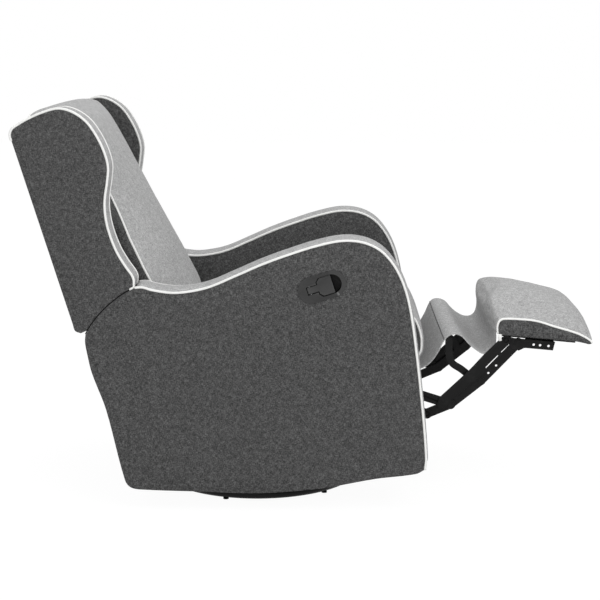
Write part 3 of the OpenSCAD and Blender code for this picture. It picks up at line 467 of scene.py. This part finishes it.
# %% Skins over rings
def skin_over(rings):
    """A closed skin over rings of level places, ready in the frame, with its two end faces."""
    bm = bmesh.new()
    station = bm.verts.layers.int.new("station")
    tag = bm.faces.layers.int.new("end")
    loops = []
    for ring in rings:
        made = bmesh.ops.create_circle(bm, segments=len(ring), radius=1)["verts"]
        for number, (vert, place) in enumerate(zip(made, placed(ring))):
            vert.co = place
            vert[station] = number
        loops.append(list({edge for vert in made for edge in vert.link_edges}))
    for one, other in zip(loops, loops[1:]):
        bmesh.ops.bridge_loops(bm, edges=one + other)
    ends = [bmesh.ops.contextual_create(bm, geom=loop)["faces"][0] for loop in (loops[0], loops[-1])]
    for number, end in enumerate(ends, 1):
        end[tag] = number
    bmesh.ops.recalc_face_normals(bm, faces=bm.faces)
    return bm, ends


def outward(line):
    """The outward direction at each place of a closed clockwise line."""
    count = len(line)
    steps = [line[(i + 1) % count] - line[i - 1] for i in range(count)]
    return [Vector((-d.y, d.x, 0)).normalized() for d in steps]


print("skins are ready")

# %% [markdown]
# An arm of this chair is a wooden box in foam: two faces cut from the dark cloth, and a light boxing band that runs
# between them over the top and down the front. The band bulges between its seams, and each face domes a little
# inside its seam, because the foam pushes the cloth out. The same helper makes the wings.

# %% Boxed panels
BAND = ((0, 0), (0.07, 0.5), (0.22, 0.85), (0.5, 1), (0.78, 0.85), (0.93, 0.5), (1, 0))
DOME_HEIGHT, DOME_REACH, DOME_PITCH = 0.004, 0.026, 0.013
OFF_GRID = 0.37  # keeps the first cut off the outline's own corners


def domed(bm, ends, height, reach, pitch):
    """Cuts the end faces into squares and raises them: steeply beside the seam, then level."""
    tag = bm.faces.layers.int["end"]
    for number, end in enumerate(ends, 1):
        way = end.normal.copy()
        rim = [vert.co.copy() for vert in end.verts]
        on_rim = set(end.verts)
        for axis in (0, 2):
            low, high = min(p[axis] for p in rim), max(p[axis] for p in rim)
            place, across = Vector((0, 0, 0)), Vector((0, 0, 0))
            across[axis] = 1
            for i in range(1, int((high - low) / pitch) + 1):
                place[axis] = low + i * pitch - OFF_GRID * pitch
                faces = [face for face in bm.faces if face[tag] == number]
                edges = {edge for face in faces for edge in face.edges}
                verts = {vert for edge in edges for vert in edge.verts}
                parts = faces + list(edges) + list(verts)
                bmesh.ops.bisect_plane(bm, geom=parts, dist=0.0002, plane_co=place, plane_no=across)
        tree = kdtree.KDTree(len(rim))
        for i, place in enumerate(rim):
            tree.insert(place, i)
        tree.balance()
        for vert in {vert for face in bm.faces if face[tag] == number for vert in face.verts} - on_rim:
            i = tree.find(vert.co)[1]
            gaps = []
            for a, b in ((rim[i - 1], rim[i]), (rim[i], rim[(i + 1) % len(rim)])):
                share = max(0, min(1, (vert.co - a).dot(b - a) / (b - a).length_squared))
                gaps.append((vert.co - a.lerp(b, share)).length)
            rise = 1 - max(0, 1 - min(gaps) / reach) ** 2
            vert.co += way * height * rise


def boxed(name, piped, plain, seams, side, body, bulge):
    """A boxed panel with piping: the band is light along the piped stretch and dark along the plain one."""
    line = piped + plain
    ways = outward(line)
    last = len(piped) - 1
    swells = [min(1, i / 4, (last - i) / 4) if i <= last else 0.25 for i in range(len(line))]
    rings = []
    for share, rise in BAND:
        y = side * (seams[0] + (seams[1] - seams[0]) * share)
        rings.append([
            (p.x + w.x * bulge * s * rise, y, p.y + w.y * bulge * s * rise) for p, w, s in zip(line, ways, swells)
        ])
    bm, ends = skin_over(rings)
    station = bm.verts.layers.int["station"]
    for face in bm.faces:
        face.material_index = int(face not in ends and all(vert[station] <= last for vert in face.verts))
    domed(bm, ends, DOME_HEIGHT, DOME_REACH, DOME_PITCH)
    cover = piece(name, bm, body, [dark_cloth, light_cloth], sharp=38)
    cords = [placed([(p.x + w.x, side * y, p.y + w.y) for p, w in zip(piped, ways)]) for y in seams]
    cord = cord_along(name.replace("cover", "piping"), cords, PIPING, body)
    return cover, cord


print("a panel's band has", len(BAND), "rings")

# %% [markdown]
# The arm's outline is the same row of shares as in the part's source. Its shoulder is an arc about the recline pivot,
# so that the wing can swing past it. The piping starts at the crest of the shoulder and ends at the front foot.

# %% Arms
RECLINE_PIVOT = (-140, 314)
SHOULDER = 289
ARM_SEAMS = (254, 346)
ARM = in_box([
    (0.196, 0.903), (0.224, 0.888), (0.284, 0.868), (0.340, 0.866), (0.401, 0.876), (0.480, 0.907),
    (0.566, 0.942), (0.653, 0.970), (0.739, 0.992), (0.818, 1.000), (0.884, 0.980), (0.934, 0.932),
    (0.972, 0.844), (0.992, 0.730), (0.999, 0.556), (1.000, 0.267), (0.996, 0.085), (0.989, 0.037),
    (0.961, 0.023), (0.834, 0.020), (0.666, 0.004), (0.478, 0.010), (0.299, 0.042), (0.122, 0.075),
    (0.079, 0.090), (0.063, 0.124), (0.035, 0.425), (0.005, 0.680),
], -376, 40, 790, 603)
shoulder = around(RECLINE_PIVOT, SHOULDER, 143.5, 110, 12)
arm_piped = through([shoulder[-1]] + ARM[:18])
arm_rear = [Vector(p).to_3d() for p in ((-370, 390), (-375, 440), (-376, 468))]
arm_plain = through(ARM[17:-1] + arm_rear + [shoulder[0]])[1:-1] + shoulder[:-1]
arm_covers = {}
for side, word in SIDES:
    cover, cord = boxed(f"arm_cover_{word}", arm_piped, arm_plain, ARM_SEAMS, side, "chair", bulge=8)
    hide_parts(f"arm_pad_{word}")
    arm_covers[word] = cover
print("arm outline has", len(arm_piped + arm_plain), "places")

# %% [markdown]
# The finger cup of the release handle is let into the outer face of the right arm. A plug of the cup's outline cuts
# its hole with a Boolean, which is applied at once, and the cup's rim covers the cut edge.

# %% Hole for the handle
CUP_PLACE, CUP_TILT = (207, -350, 540), math.radians(11.5)
CUP_CENTRES, CUP_RADIUS = 27.5, 26.5
PLUG_START, PLUG_DEPTH = 8, 0.034
across = Matrix.Rotation(math.radians(90), 4, "X")
HANDLE = LEVEL @ Matrix.Translation(CUP_PLACE) @ Matrix.Rotation(-CUP_TILT, 4, "Y") @ across
bm = bmesh.new()
slot_line = around((CUP_CENTRES, 0), CUP_RADIUS, -90, 90, 16) + around((-CUP_CENTRES, 0), CUP_RADIUS, 90, 270, 16)
corners = [bm.verts.new(HANDLE @ Vector((p.x, p.y, PLUG_START))) for p in slot_line]
outer = bmesh.ops.contextual_create(bm, geom=corners)["faces"]
pulled = [g for g in bmesh.ops.extrude_face_region(bm, geom=outer)["geom"] if isinstance(g, bmesh.types.BMVert)]
bmesh.ops.translate(bm, verts=pulled, vec=Vector((0, PLUG_DEPTH, 0)))
plug = piece("plug", bm, None, [dark_cloth])
cut = arm_covers["right"].modifiers.new("cup_hole", "BOOLEAN")
cut.object = plug
cut.operation = "DIFFERENCE"
cut.solver = "EXACT"
applied(arm_covers["right"])
bpy.data.objects.remove(plug)
print("right arm has", len(arm_covers["right"].data.polygons), "faces")

# %% [markdown]
# The wings are boxed panels on the back. Their piping starts behind the top corner, follows the crest and the
# S of the front edge, and turns round the tip above the arm.

# %% Wings
WING_BOX = (-482, 490, 242, 538)
WING_SEAMS = (273, 343)
WING_ARC = 292.5
WING = in_box([
    (1.000, 0.212), (0.988, 0.234), (0.930, 0.283), (0.864, 0.353), (0.818, 0.441), (0.806, 0.519),
    (0.822, 0.584), (0.868, 0.660), (0.897, 0.725), (0.880, 0.790), (0.831, 0.859), (0.748, 0.929),
    (0.628, 0.978), (0.496, 1.000), (0.339, 0.991), (0.174, 0.968), (0.062, 0.946), (0.020, 0.934),
], *WING_BOX)
WING_REAR = in_box([(0.405, 0.000), (0.352, 0.014), (0.339, 0.045), (0.000, 0.885)], *WING_BOX)
WING_CORNER = [WING_REAR[-1], Vector((-483, 981, 0))]
under_tip = around(RECLINE_PIVOT, WING_ARC, 110.5, 112.7, 2)
under_wing = around(RECLINE_PIVOT, WING_ARC, 112.7, 142, 12)
wing_piped = through(WING_CORNER + WING[::-1]) + under_tip
wing_plain = under_wing[1:] + through(WING_REAR, 3, corners=(2,))[:-1]
for side, word in SIDES:
    cover, cord = boxed(f"wing_cover_{word}", wing_piped, wing_plain, WING_SEAMS, side, "back", bulge=4)
    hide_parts(f"wing_{word}")
print("wing outline has", len(wing_piped + wing_plain), "places")

# %% [markdown]
# Between the arm's shoulder and the wing there is a gap of 3.5 mm that stays the same while the back reclines,
# because both are arcs about the recline pivot. It shows as a thin black line: a strip of black cloth set in the gap
# is painted shade, standing in for the shadow deep in it.

# %% Painted shade in the shoulder gaps
GAP_SHADE = ((288.6, 262), (291.6, 262), (291.6, 300), (291.6, 341), (288.6, 341), (288.6, 300))
GAP_SHADE_START, GAP_SHADE_TURN, GAP_SHADE_STEPS = 111, 32.5, 24
for side, word in SIDES:
    rings = []
    for step in range(GAP_SHADE_STEPS + 1):
        turn = math.radians(GAP_SHADE_START + GAP_SHADE_TURN * step / GAP_SHADE_STEPS)
        rings.append([
            (RECLINE_PIVOT[0] + radius * math.cos(turn), side * y, RECLINE_PIVOT[1] + radius * math.sin(turn))
            for radius, y in GAP_SHADE
        ])
    bm, ends = skin_over(rings)
    # The strip's black cloth is painted shade, standing in for the shadow deep in the gap.
    gap_shade_strip = piece(f"shoulder_gap_shade_{word}", bm, "chair", [dust_cloth], sharp=40)
print("shoulder linings have", len(gap_shade_strip.data.polygons), "faces each")

# %% [markdown]
# The outer back and the panel below it are single pieces of dark cloth pulled over a board. Such a sheet is lofted:
# one line of places is pulled sideways, step by step, and each copy takes the next line's places. It bows a little.

# %% Lofted sheets
def lofted(lines, thick):
    """A sheet over a row of equal lines of level places, given a thickness inwards."""
    bm = bmesh.new()
    station = bm.verts.layers.int.new("station")
    verts = [bm.verts.new(p) for p in placed(lines[0])]
    for number, vert in enumerate(verts):
        vert[station] = number
    edges = [bm.edges.new(pair) for pair in zip(verts, verts[1:])]
    for line in lines[1:]:
        made = bmesh.ops.extrude_edge_only(bm, edges=edges)["geom"]
        places = placed(line)
        for vert in (g for g in made if isinstance(g, bmesh.types.BMVert)):
            vert.co = places[vert[station]]
        edges = [g for g in made if isinstance(g, bmesh.types.BMEdge) and all(v in made for v in g.verts)]
    bmesh.ops.recalc_face_normals(bm, faces=bm.faces)
    bmesh.ops.solidify(bm, geom=bm.faces[:], thickness=thick)
    return bm


def board_lines(path, half, bow, count=14):
    """Lines across a bowed board: the path moves back by the bow in the middle."""
    lines = []
    for i in range(count + 1):
        share = 2 * i / count - 1
        lines.append([(p.x - bow * (1 - share * share), half * share, p.y) for p in path])
    return lines


back_path = through([(-386, 492), (-434, 728), (-481, 960), (-484, 976), (-480, 990)], 5)
back_cover = piece("back_cover", lofted(board_lines(back_path, 271, 4), -0.008), "back", [dark_cloth], sharp=50)
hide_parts("back_shell")
rear_path = through([(-312, 97), (-348.4, 296), (-373, 470)], 6)
rear_cover = piece("rear_cover", lofted(board_lines(rear_path, 254, 3), -0.010), "chair", [dark_cloth], sharp=50)
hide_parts("rear_panel")
print("outer back", [round(c * 1000) for c in back_cover.dimensions], "mm")

# %% [markdown]
# Cushions are filled by simulation. The skin is remeshed into even squares, Blender's Cloth blows it up with a
# little pressure while the seams that are stapled to the frame stay put, and no point may move further than a cap,
# as the wadding is only so thick. The sides are then pressed flat where an arm or a wing holds them.

# %% Filling a cushion
FLAT = LEVEL.inverted()
PRESSURE = 4
FRAMES = 20
STILL = 0.000001  # a move too short to scale


def filled(name, bm, voxel, cap, stapled, pressed):
    """An object with the skin remeshed, blown up, and pressed back where pressed() says so."""
    mesh = bpy.data.meshes.new(name)
    bm.to_mesh(mesh)
    bm.free()
    skin = bpy.data.objects.new(name, mesh)
    scene.collection.objects.link(skin)
    remesh = skin.modifiers.new("even_squares", "REMESH")
    remesh.mode = "VOXEL"
    remesh.voxel_size = voxel
    applied(skin)
    start = [vert.co.copy() for vert in skin.data.vertices]
    still = skin.vertex_groups.new(name="stapled")
    still.add([i for i, place in enumerate(start) if stapled(*(FLAT @ place))], 1, "REPLACE")
    cloth = skin.modifiers.new("filling", "CLOTH")
    cloth.settings.vertex_group_mass = "stapled"
    cloth.settings.use_pressure = True
    cloth.settings.uniform_pressure_force = PRESSURE
    cloth.settings.effector_weights.gravity = 0
    cloth.point_cache.frame_end = FRAMES
    for tick in range(FRAMES):
        scene.frame_set(tick + 1)
    applied(skin)
    scene.frame_set(1)
    for vert, place in zip(skin.data.vertices, start):
        move = vert.co - place
        vert.co = place + move * min(1, cap / max(move.length, STILL))
    finer = skin.modifiers.new("finer", "SUBSURF")
    finer.levels = finer.render_levels = 1
    applied(skin)
    for vert in skin.data.vertices:
        vert.co = LEVEL @ Vector(pressed(*(FLAT @ vert.co)))
    ready = bmesh.new()
    ready.from_mesh(skin.data)
    bpy.data.objects.remove(skin)
    for _ in range(2):
        bmesh.ops.smooth_vert(ready, verts=ready.verts, factor=0.5, use_axis_x=True, use_axis_y=True, use_axis_z=True)
    return ready


def seam(bm, place, way, along):
    """Cuts the skin along a plane and returns the longest run of the cut that along() allows, as a smooth line."""
    everything = bm.verts[:] + bm.edges[:] + bm.faces[:]
    cut = bmesh.ops.bisect_plane(bm, geom=everything, dist=0.00001, plane_co=place, plane_no=way)["geom_cut"]
    links = {}
    for edge in (g for g in cut if isinstance(g, bmesh.types.BMEdge)):
        for vert in edge.verts:
            links.setdefault(vert, []).append(edge.other_vert(vert))
    kept = {vert for vert in links if along(*(FLAT @ vert.co))}
    runs = []
    for first in (vert for vert in links if vert in kept and sum(n in kept for n in links[vert]) == 1):
        line, seen = [first], {first}
        while onward := [n for n in links[line[-1]] if n in kept and n not in seen]:
            line.append(onward[0])
            seen.add(onward[0])
        runs.append(line)
    places = [vert.co.copy() for vert in max(runs, key=len)]
    for _ in range(6):
        places = [places[0]] + [(a + b * 2 + c) / 4 for a, b, c in zip(places, places[1:], places[2:])] + [places[-1]]
    return places


def side_seams(bm, half, along):
    """The seams on both sides at a distance in mm from the middle."""
    return [seam(bm, (0, side * half / 1000, 0), (0, 1, 0), along) for side in (LEFT, RIGHT)]


def held_within(y, half):
    return max(-half, min(half, y))


def level_ring(z, rear, front, half, set_back, turn=12):
    """A level ring of a cushion with rounded corners, whose front ends stand back behind its middle."""
    ahead, behind, side = front - turn, rear + turn, half - turn
    corners = ((ahead, side), (behind, side), (behind, -side), (ahead, -side))
    bends = [around(corner, turn, 90 * i, 90 * i + 90, 4) for i, corner in enumerate(corners)]
    ring = []
    for bend, after in zip(bends, bends[1:] + bends[:1]):
        ring += bend + [bend[-1].lerp(after[0], i / 12) for i in range(1, 12)]
    middle = (rear + front) / 2
    places = []
    for p in ring:
        to_front = max(0, (p.x - middle) / (front - middle))
        places.append((p.x - to_front ** 0.3 * set_back * abs(p.y / half) ** 2.2, p.y, z))
    return places


print("cushions may swell, but not past the frame")

# %% [markdown]
# The back cushion is a crowned slab: its front stands up to 76 mm ahead of its ends in the middle, and it rolls over
# the top of the back between the wings. Its side panels are dark, its front is light, with piping in both side seams
# and in the seam along the top. A ring is a height, a rear, a front, half a width and how far the front's ends stand
# back.

# %% Back cushion
def back_line(z, ahead):
    """A place along the chair that stands ahead of the outer back's board at a height."""
    return -384 - 98 * (z - 490) / 476 + ahead


BACK_SEAM = 236
BACK = (
    (484, -226, -152, 228, 24), (492, -232, -126, 236, 48), (510, -242, -115, 240, 68), (540, -250, -123, 241, 75),
    (557, -266, -129, 241, 76), (575, back_line(575, 68), -136, 241, 76), (620, back_line(620, 62), -153, 241, 76),
    (693, back_line(693, 62), -183, 246, 75), (765, back_line(765, 62), -213, 262, 73),
    (836, back_line(836, 62), -241, 266, 69), (905, back_line(905, 62), -269, 266, 54),
    (955, back_line(955, 20), -291, 266, 46), (984, back_line(984, 18), -306, 266, 38),
    (1006, back_line(1006, 28), -323, 264, 30), (1021, back_line(1021, 46), -343, 258, 20),
    (1030, back_line(1030, 68), -372, 240, 10),
)
ARM_HOLDS, WING_HOLDS, WING_START = 245, 269, 640
bm, ends = skin_over([level_ring(*row) for row in BACK])


def back_stapled(x, y, z):
    return x < back_line(z, 85) and z < 960 or abs(y) > 226


def back_pressed(x, y, z):
    half = ARM_HOLDS + max(0, min(1, (z - WING_START) / 90)) * (WING_HOLDS - ARM_HOLDS)
    return max(x, back_line(z, 9)), held_within(y, half), z


bm = filled("back_cushion_cover", bm, voxel=0.008, cap=0.014, stapled=back_stapled, pressed=back_pressed)
cords = side_seams(bm, BACK_SEAM, lambda x, y, z: x > back_line(z, 100) and 500 < z < 960)
crest, crest_way = LEVEL @ Vector((-450, 0, 1016)), Vector((-1, 0, 0.25))
cords.append(seam(bm, crest, crest_way, lambda x, y, z: z > 990 and abs(y) < 262))
for face in bm.faces:
    middle = face.calc_center_median()
    spot = FLAT @ middle
    behind = (middle - crest).dot(crest_way) > 0
    face.material_index = 0 if abs(spot.y) > BACK_SEAM and spot.z < 900 or behind else 1
back_cushion = piece("back_cushion_cover", bm, "back", [dark_cloth, light_cloth])
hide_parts("back_cushion")
cord_along("back_cushion_piping", cords, PIPING, "back")
print("back cushion has", len(back_cushion.data.polygons), "faces")

# %% [markdown]
# The seat cushion is a deep box of foam between the arms. Its front noses out 24 mm past them, which is the one
# place where the photograph shows it, with its piping as a white arc beside the arm.

# %% Seat cushion
SEAT_SEAM = 238
SEAT = (
    (307, -96, 420, 232, 2), (316, -108, 430, 239, 2), (334, -113, 439, 241, 2), (364, -116, 443, 241, 2),
    (390, -116, 441, 241, 3), (416, -113, 434, 241, 4), (436, -106, 423, 238, 5), (450, -90, 404, 228, 6),
    (457, -60, 374, 204, 4),
)
bm, ends = skin_over([level_ring(*row) for row in SEAT])
bm = filled(
    "seat_cushion_cover", bm, voxel=0.008, cap=0.010,
    stapled=lambda x, y, z: z < 312 or x < -108 or abs(y) > 229,
    pressed=lambda x, y, z: (min(x, 447), held_within(y, ARM_HOLDS), max(304, z)),
)
cords = side_seams(bm, SEAT_SEAM, lambda x, y, z: x > -90 and (z > 400 or x > 400) and z > 309)
for face in bm.faces:
    face.material_index = int(abs((FLAT @ face.calc_center_median()).y) < SEAT_SEAM)
seat_cushion = piece("seat_cushion_cover", bm, "chair", [dark_cloth, light_cloth])
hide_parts("seat_cushion")
cord_along("seat_cushion_piping", cords, PIPING, "chair")
print("seat cushion has", len(seat_cushion.data.polygons), "faces")

# %% [markdown]
# The footrest pad is a wedge that thins to the front, is crowned from side to side by up to 52 mm and overhangs its
# board at the rear. Its rings stand upright, one beside the other across the chair. A place on a ring is a share of the
# pad's length, of its edge's height, of the crown and of the overhang. The side panels are dark, and the piping follows
# their upper edge and ends at the rear corner in a small tab, which the upholsterer leaves to pull the cover tight.

# %% Footrest pad
SLOPE = math.radians(11.6)
BOARD_X, BOARD_Z = 643, 340
PAD_LENGTH, PAD_EDGE, PAD_CROWN, PAD_OVERHANG = 236, 44, 52, 20
PAD_HALF, PAD_SEAM = 238, 233


def on_footrest(along, up):
    """A place on the footrest, measured from the rear corner of its board along its slope."""
    ahead, drop = along * math.cos(SLOPE), along * math.sin(SLOPE)
    return Vector((BOARD_X + ahead + up * math.sin(SLOPE), BOARD_Z - drop + up * math.cos(SLOPE)))


def over_board(x, z):
    """How far a level place stands over the line of the footrest's board."""
    return (z - BOARD_Z) * math.cos(SLOPE) + (x - BOARD_X) * math.sin(SLOPE)


def pad_fullness(share):
    """How full the pad is at a share of the way from its middle to a side: it stays full nearly up to the seam."""
    return 1 - abs(share) ** 4


PAD = (
    (0.060, 0, 0, 0), (0.012, 0.03, 0.02, 0.1), (0.002, 0.25, 0.25, 0.35), (0.005, 0.52, 0.68, 0.8),
    (0.032, 0.79, 0.98, 1), (0.105, 0.87, 1.02, 0.75), (0.220, 0.91, 0.96, 0.3), (0.395, 0.90, 0.90, 0),
    (0.594, 0.66, 1, 0), (0.797, 0.44, 1.02, 0), (0.905, 0.27, 0.82, 0), (0.980, 0.10, 0.36, 0),
    (1.003, 0, 0.1, 0), (0.978, -0.07, 0, 0), (0.930, -0.06, 0, 0), (0.860, 0, 0, 0), (0.4, 0, 0, 0),
)
rings = []
for share in (-1, -0.985, -0.95, -0.86, -0.7, -0.5, -0.25, 0, 0.25, 0.5, 0.7, 0.86, 0.95, 0.985, 1):
    full = pad_fullness(share)
    drawn_in = 3 if abs(share) == 1 else 0
    overhang = PAD_OVERHANG * (1 - share ** 8)
    places = [
        on_footrest(
            -24 + a * PAD_LENGTH + (full * 16 - drawn_in) * (a - 0.5) - d * overhang,
            9 + b * (PAD_EDGE - drawn_in) + c * PAD_CROWN * full,
        )
        for a, b, c, d in PAD
    ]
    rings.append([(p.x, share * PAD_HALF, p.y) for p in through(places + [places[0]], 4)[:-1]])
bm, ends = skin_over(rings)
bm = filled(
    "footrest_cover", bm, voxel=0.005, cap=0.008,
    stapled=lambda x, y, z: over_board(x, z) < 11 or abs(y) > 227,
    pressed=lambda x, y, z: (x, held_within(y, 242), z),
)
cords = side_seams(bm, PAD_SEAM, lambda x, y, z: over_board(x, z) > (12 if x < 800 else 9))
for face in bm.faces:
    face.material_index = int(abs((FLAT @ face.calc_center_median()).y) < PAD_SEAM)
footrest_cover = piece("footrest_cover", bm, "footrest", [dark_cloth, light_cloth])
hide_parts("footrest_pad")
cord_along("footrest_piping", cords, PIPING, "footrest")
tabs = [placed([(629, side * 238, 355), (626, side * 239, 347), (627, side * 239, 339)]) for side in (LEFT, RIGHT)]
cord_along("piping_tabs", tabs, 0.0042, "footrest")
print("footrest pad has", len(footrest_cover.data.polygons), "faces")

# %% [markdown]
# A flap of the light cloth closes the gap between the seat and the footrest. It is stapled to the front rail, rises
# over a bar of the linkage, sinks into a valley and climbs to the pad. Its near and far edges don't run quite alike,
# so it is lofted from one to the other. It narrows before the pad, where it passes between the links, and its end is
# pushed into the pad's crowned rear. A dark seam crosses it over the bar.

# %% Leg flap
FLAP_HALF, FLAP_NARROWS, FLAP_SAG, FLAP_PUSH, FLAP_STEPS = 220, 21, 3, 14, 30
FLAP_THICK, SEAM_THICK, SEAM_STATION = 0.0022, 0.0011, 21
NEAR = [(374, 290), (400, 288), (424, 287), (447, 297), (470, 321), (488, 349), (501, 361), (519, 365), (536, 357),
        (551, 337), (567, 320), (586, 306), (603, 306), (616, 318), (622, 334), (625, 349), (627, 367)]
FAR = [(374, 290), (402, 289), (430, 296), (449, 314), (468, 340), (483, 366), (495, 376), (511, 376), (527, 368),
       (541, 349), (556, 333), (576, 321), (595, 322), (607, 334), (614, 350), (618, 370), (621, 392)]
near_line, far_line = through(NEAR, 4), through(FAR, 4)
last = len(near_line) - 1
halves = [FLAP_HALF - FLAP_NARROWS * max(0, min(1, (k / last - 0.6) / 0.2)) ** 2 for k in range(last + 1)]
lines = []
for i in range(FLAP_STEPS + 1):
    share = i / FLAP_STEPS
    ease = share * share * (3 - 2 * share)
    sag = FLAP_SAG * math.sin(math.pi * share)
    pushed = [
        FLAP_PUSH * pad_fullness(half * (2 * share - 1) / PAD_HALF) * (k / last) ** 6 for k, half in enumerate(halves)
    ]
    lines.append([
        (a.x + (b.x - a.x) * ease - p, half * (2 * share - 1), a.y + (b.y - a.y) * ease - sag)
        for a, b, p, half in zip(near_line, far_line, pushed, halves)
    ])
flap = piece("leg_flap_cover", lofted(lines, -FLAP_THICK), "chair", [light_cloth], sharp=50)
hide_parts("leg_flap")
crossing = [(x, y, z + 0.6) for x, y, z in (line[SEAM_STATION] for line in lines)]
flap_seam = cord_along("leg_flap_seam", [placed(crossing)], SEAM_THICK, "chair", dark_cloth, 1)
for part in (flap, flap_seam):
    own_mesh(part)

# %% [markdown]
# Two pieces of the linkage are pressed wider than their plain solids. The coupler is a broad blank that covers the
# gap to the main link and leaves two thin slots, and the leg of the flap bar curves up out of the band. A pressing
# is a flat curve with a filled outline, whose bevel is the edge that the press tool rounds.

# %% Pressed links
COUPLER_PIN, BRACKET_PIN = Vector((468.2, 187.2, 0)), Vector((643.3, 334, 0))
LINK_FROM, LINK_TO = Vector((572, 236, 0)), Vector((673, 322, 0))
PLATE_HALF, PRESSED_EDGE = 1.5, 0.35


def pressing(name, outline, holes, inner, body):
    """A plate 3 mm thick in the level chair, from its inner face outwards, drawn in side view, on both sides."""
    mesh = curve_mesh(
        name, [outline] + holes, True, dimensions="2D", fill_mode="BOTH",
        extrude=PLATE_HALF - PRESSED_EDGE, bevel_depth=PRESSED_EDGE, offset=-PRESSED_EDGE,
    )
    made = []
    for side, word in SIDES:
        bm = welded(mesh, 0.01)
        for vert in bm.verts:
            vert.co = LEVEL @ Vector((vert.co.x, side * (inner + PLATE_HALF + vert.co.z), vert.co.y))
        made.append(piece(f"{name}_{word}", bm, body, [black_steel], sharp=30))
    return made


def beside_link(along, off):
    """A place beside the main link, at a distance along it from its rivet and off its middle line."""
    way = (LINK_TO - LINK_FROM).normalized()
    return LINK_FROM + way * along + Vector((-way.y, way.x, 0)) * off


SLOTS = ((112, 15.5), (88, 16.5), (86, 10), (78, 10), (76, 16.5), (34, 17), (29, 10), (-4, 10))
coupler_line = (
    around(COUPLER_PIN, 11.5, 300, 145, 9) + through([(465, 206), (547, 269), (583, 301), (616, 328), (635, 342.5)], 3)
    + around(BRACKET_PIN, 11, 105, -30, 8)
    + [beside_link(*p) for p in SLOTS]
    + [Vector((508, 206, 0)), Vector((486, 190, 0))]
)
pin_holes = [around(COUPLER_PIN, 4.2, 0, 345, 23), around(BRACKET_PIN, 6.9, 0, 345, 23)]
for cover, word in zip(pressing("coupler_blank", coupler_line, pin_holes, 214.5, "couplers"), ("left", "right")):
    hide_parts(f"coupler_{word}")

BAR_X, BAR_Z, BAR_HALF, BAR_RADIUS, LEG_HALF = 503, 345, 202.6, 0.007, 9
middle = through([(548, 226), (541, 253), (526, 270), (507, 286), (501, 302), (501, 325), (BAR_X, BAR_Z)], 5)
ways = [(b - a).normalized() for a, b in zip(middle[:1] + middle, middle[1:] + middle[-1:])]
offs = [Vector((-w.y, w.x, 0)) * LEG_HALF for w in ways]
leg_line = [p + off for p, off in zip(middle, offs)] + around((BAR_X, BAR_Z), LEG_HALF, 170, 10, 7)
leg_line += [p - off for p, off in zip(middle, offs)][::-1]
pressing("flap_leg", leg_line, [], 202.4, "beams")
bar_line = placed([(BAR_X, -BAR_HALF, BAR_Z), (BAR_X, BAR_HALF, BAR_Z)])
flap_bar = cord_along("flap_bar", [bar_line], BAR_RADIUS, "beams", black_steel, 4)
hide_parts("flap_support")
print("coupler outline has", len(coupler_line), "places, leg outline", len(leg_line))

# %% [markdown]
# The floor is a pale studio sweep and the backdrop is plain white. A white that the camera, a reflection or a clear
# part sees comes from the colour of the backdrop, never from more light on the chair, and the floor keeps a shadow.

# %% Floor and backdrop
def seen_directly(tree):
    """Which rays see the backdrop as it is: those of the camera, of gloss and of clear parts."""
    rays = add(tree, "ShaderNodeLightPath")
    two = maths(tree, "MAXIMUM", (rays, "Is Camera Ray"), (rays, "Is Glossy Ray"))
    return maths(tree, "MAXIMUM", two, (rays, "Is Transmission Ray"))


sweep = bpy.data.materials.new("white_studio_floor")
tree = empty_tree(sweep)
share = maths(tree, "MULTIPLY", seen_directly(tree), 0.9)
matt = add(tree, "ShaderNodeBsdfDiffuse", {"Color": colour("#f2f2f2")})
glow = add(tree, "ShaderNodeEmission", {"Color": (1, 1, 1, 1), "Strength": 1.06})
mixed = add(tree, "ShaderNodeMixShader", {0: share, 1: (matt, 0), 2: (glow, 0)})
add(tree, "ShaderNodeOutputMaterial", {"Surface": (mixed, 0)})
bm = bmesh.new()
bmesh.ops.create_grid(bm, x_segments=1, y_segments=1, size=12)
floor = piece("floor", bm, None, [sweep])

world = bpy.data.worlds.new("white_studio")
scene.world = world
tree = empty_tree(world)
direct = seen_directly(tree)
soft = add(tree, "ShaderNodeBackground", {"Color": colour("#ffffff"), "Strength": 0.55})
white = add(tree, "ShaderNodeBackground", {"Color": colour("#ffffff"), "Strength": 1.0})
mixed = add(tree, "ShaderNodeMixShader", {0: direct, 1: (soft, 0), 2: (white, 0)})
add(tree, "ShaderNodeOutputWorld", {"Surface": (mixed, 0)})
print("floor", floor.name, "world", world.name)

# %% [markdown]
# The light is soft and comes from high in front of the chair and a little from the camera's side, from big boxes.
# Together with the white room they light a grey card about as bright as it is painted.

# %% Lamps
def softbox(name, place, target, size, power):
    data = bpy.data.lights.new(name, "AREA")
    data.shape = "SQUARE"
    data.size = size
    data.energy = power
    lamp = bpy.data.objects.new(name, data)
    way = Vector(target) - Vector(place)
    lamp.matrix_world = Matrix.Translation(place) @ way.to_track_quat("-Z", "Y").to_matrix().to_4x4()
    scene.collection.objects.link(lamp)


softbox("key", (1.6, -2.6, 3.2), (0, 0, 0.45), 2.4, 54)
softbox("top", (-0.3, 0.4, 3.6), (0, 0, 0.4), 2.4, 28)
softbox("side", (-0.6, -4.2, 1.4), (0, 0, 0.5), 2.0, 26)
scene.view_settings.view_transform = "Standard"
print("three soft boxes")

# %% [markdown]
# Last, the view layer is brought up to date.

# %% Finish
bpy.context.view_layer.update()
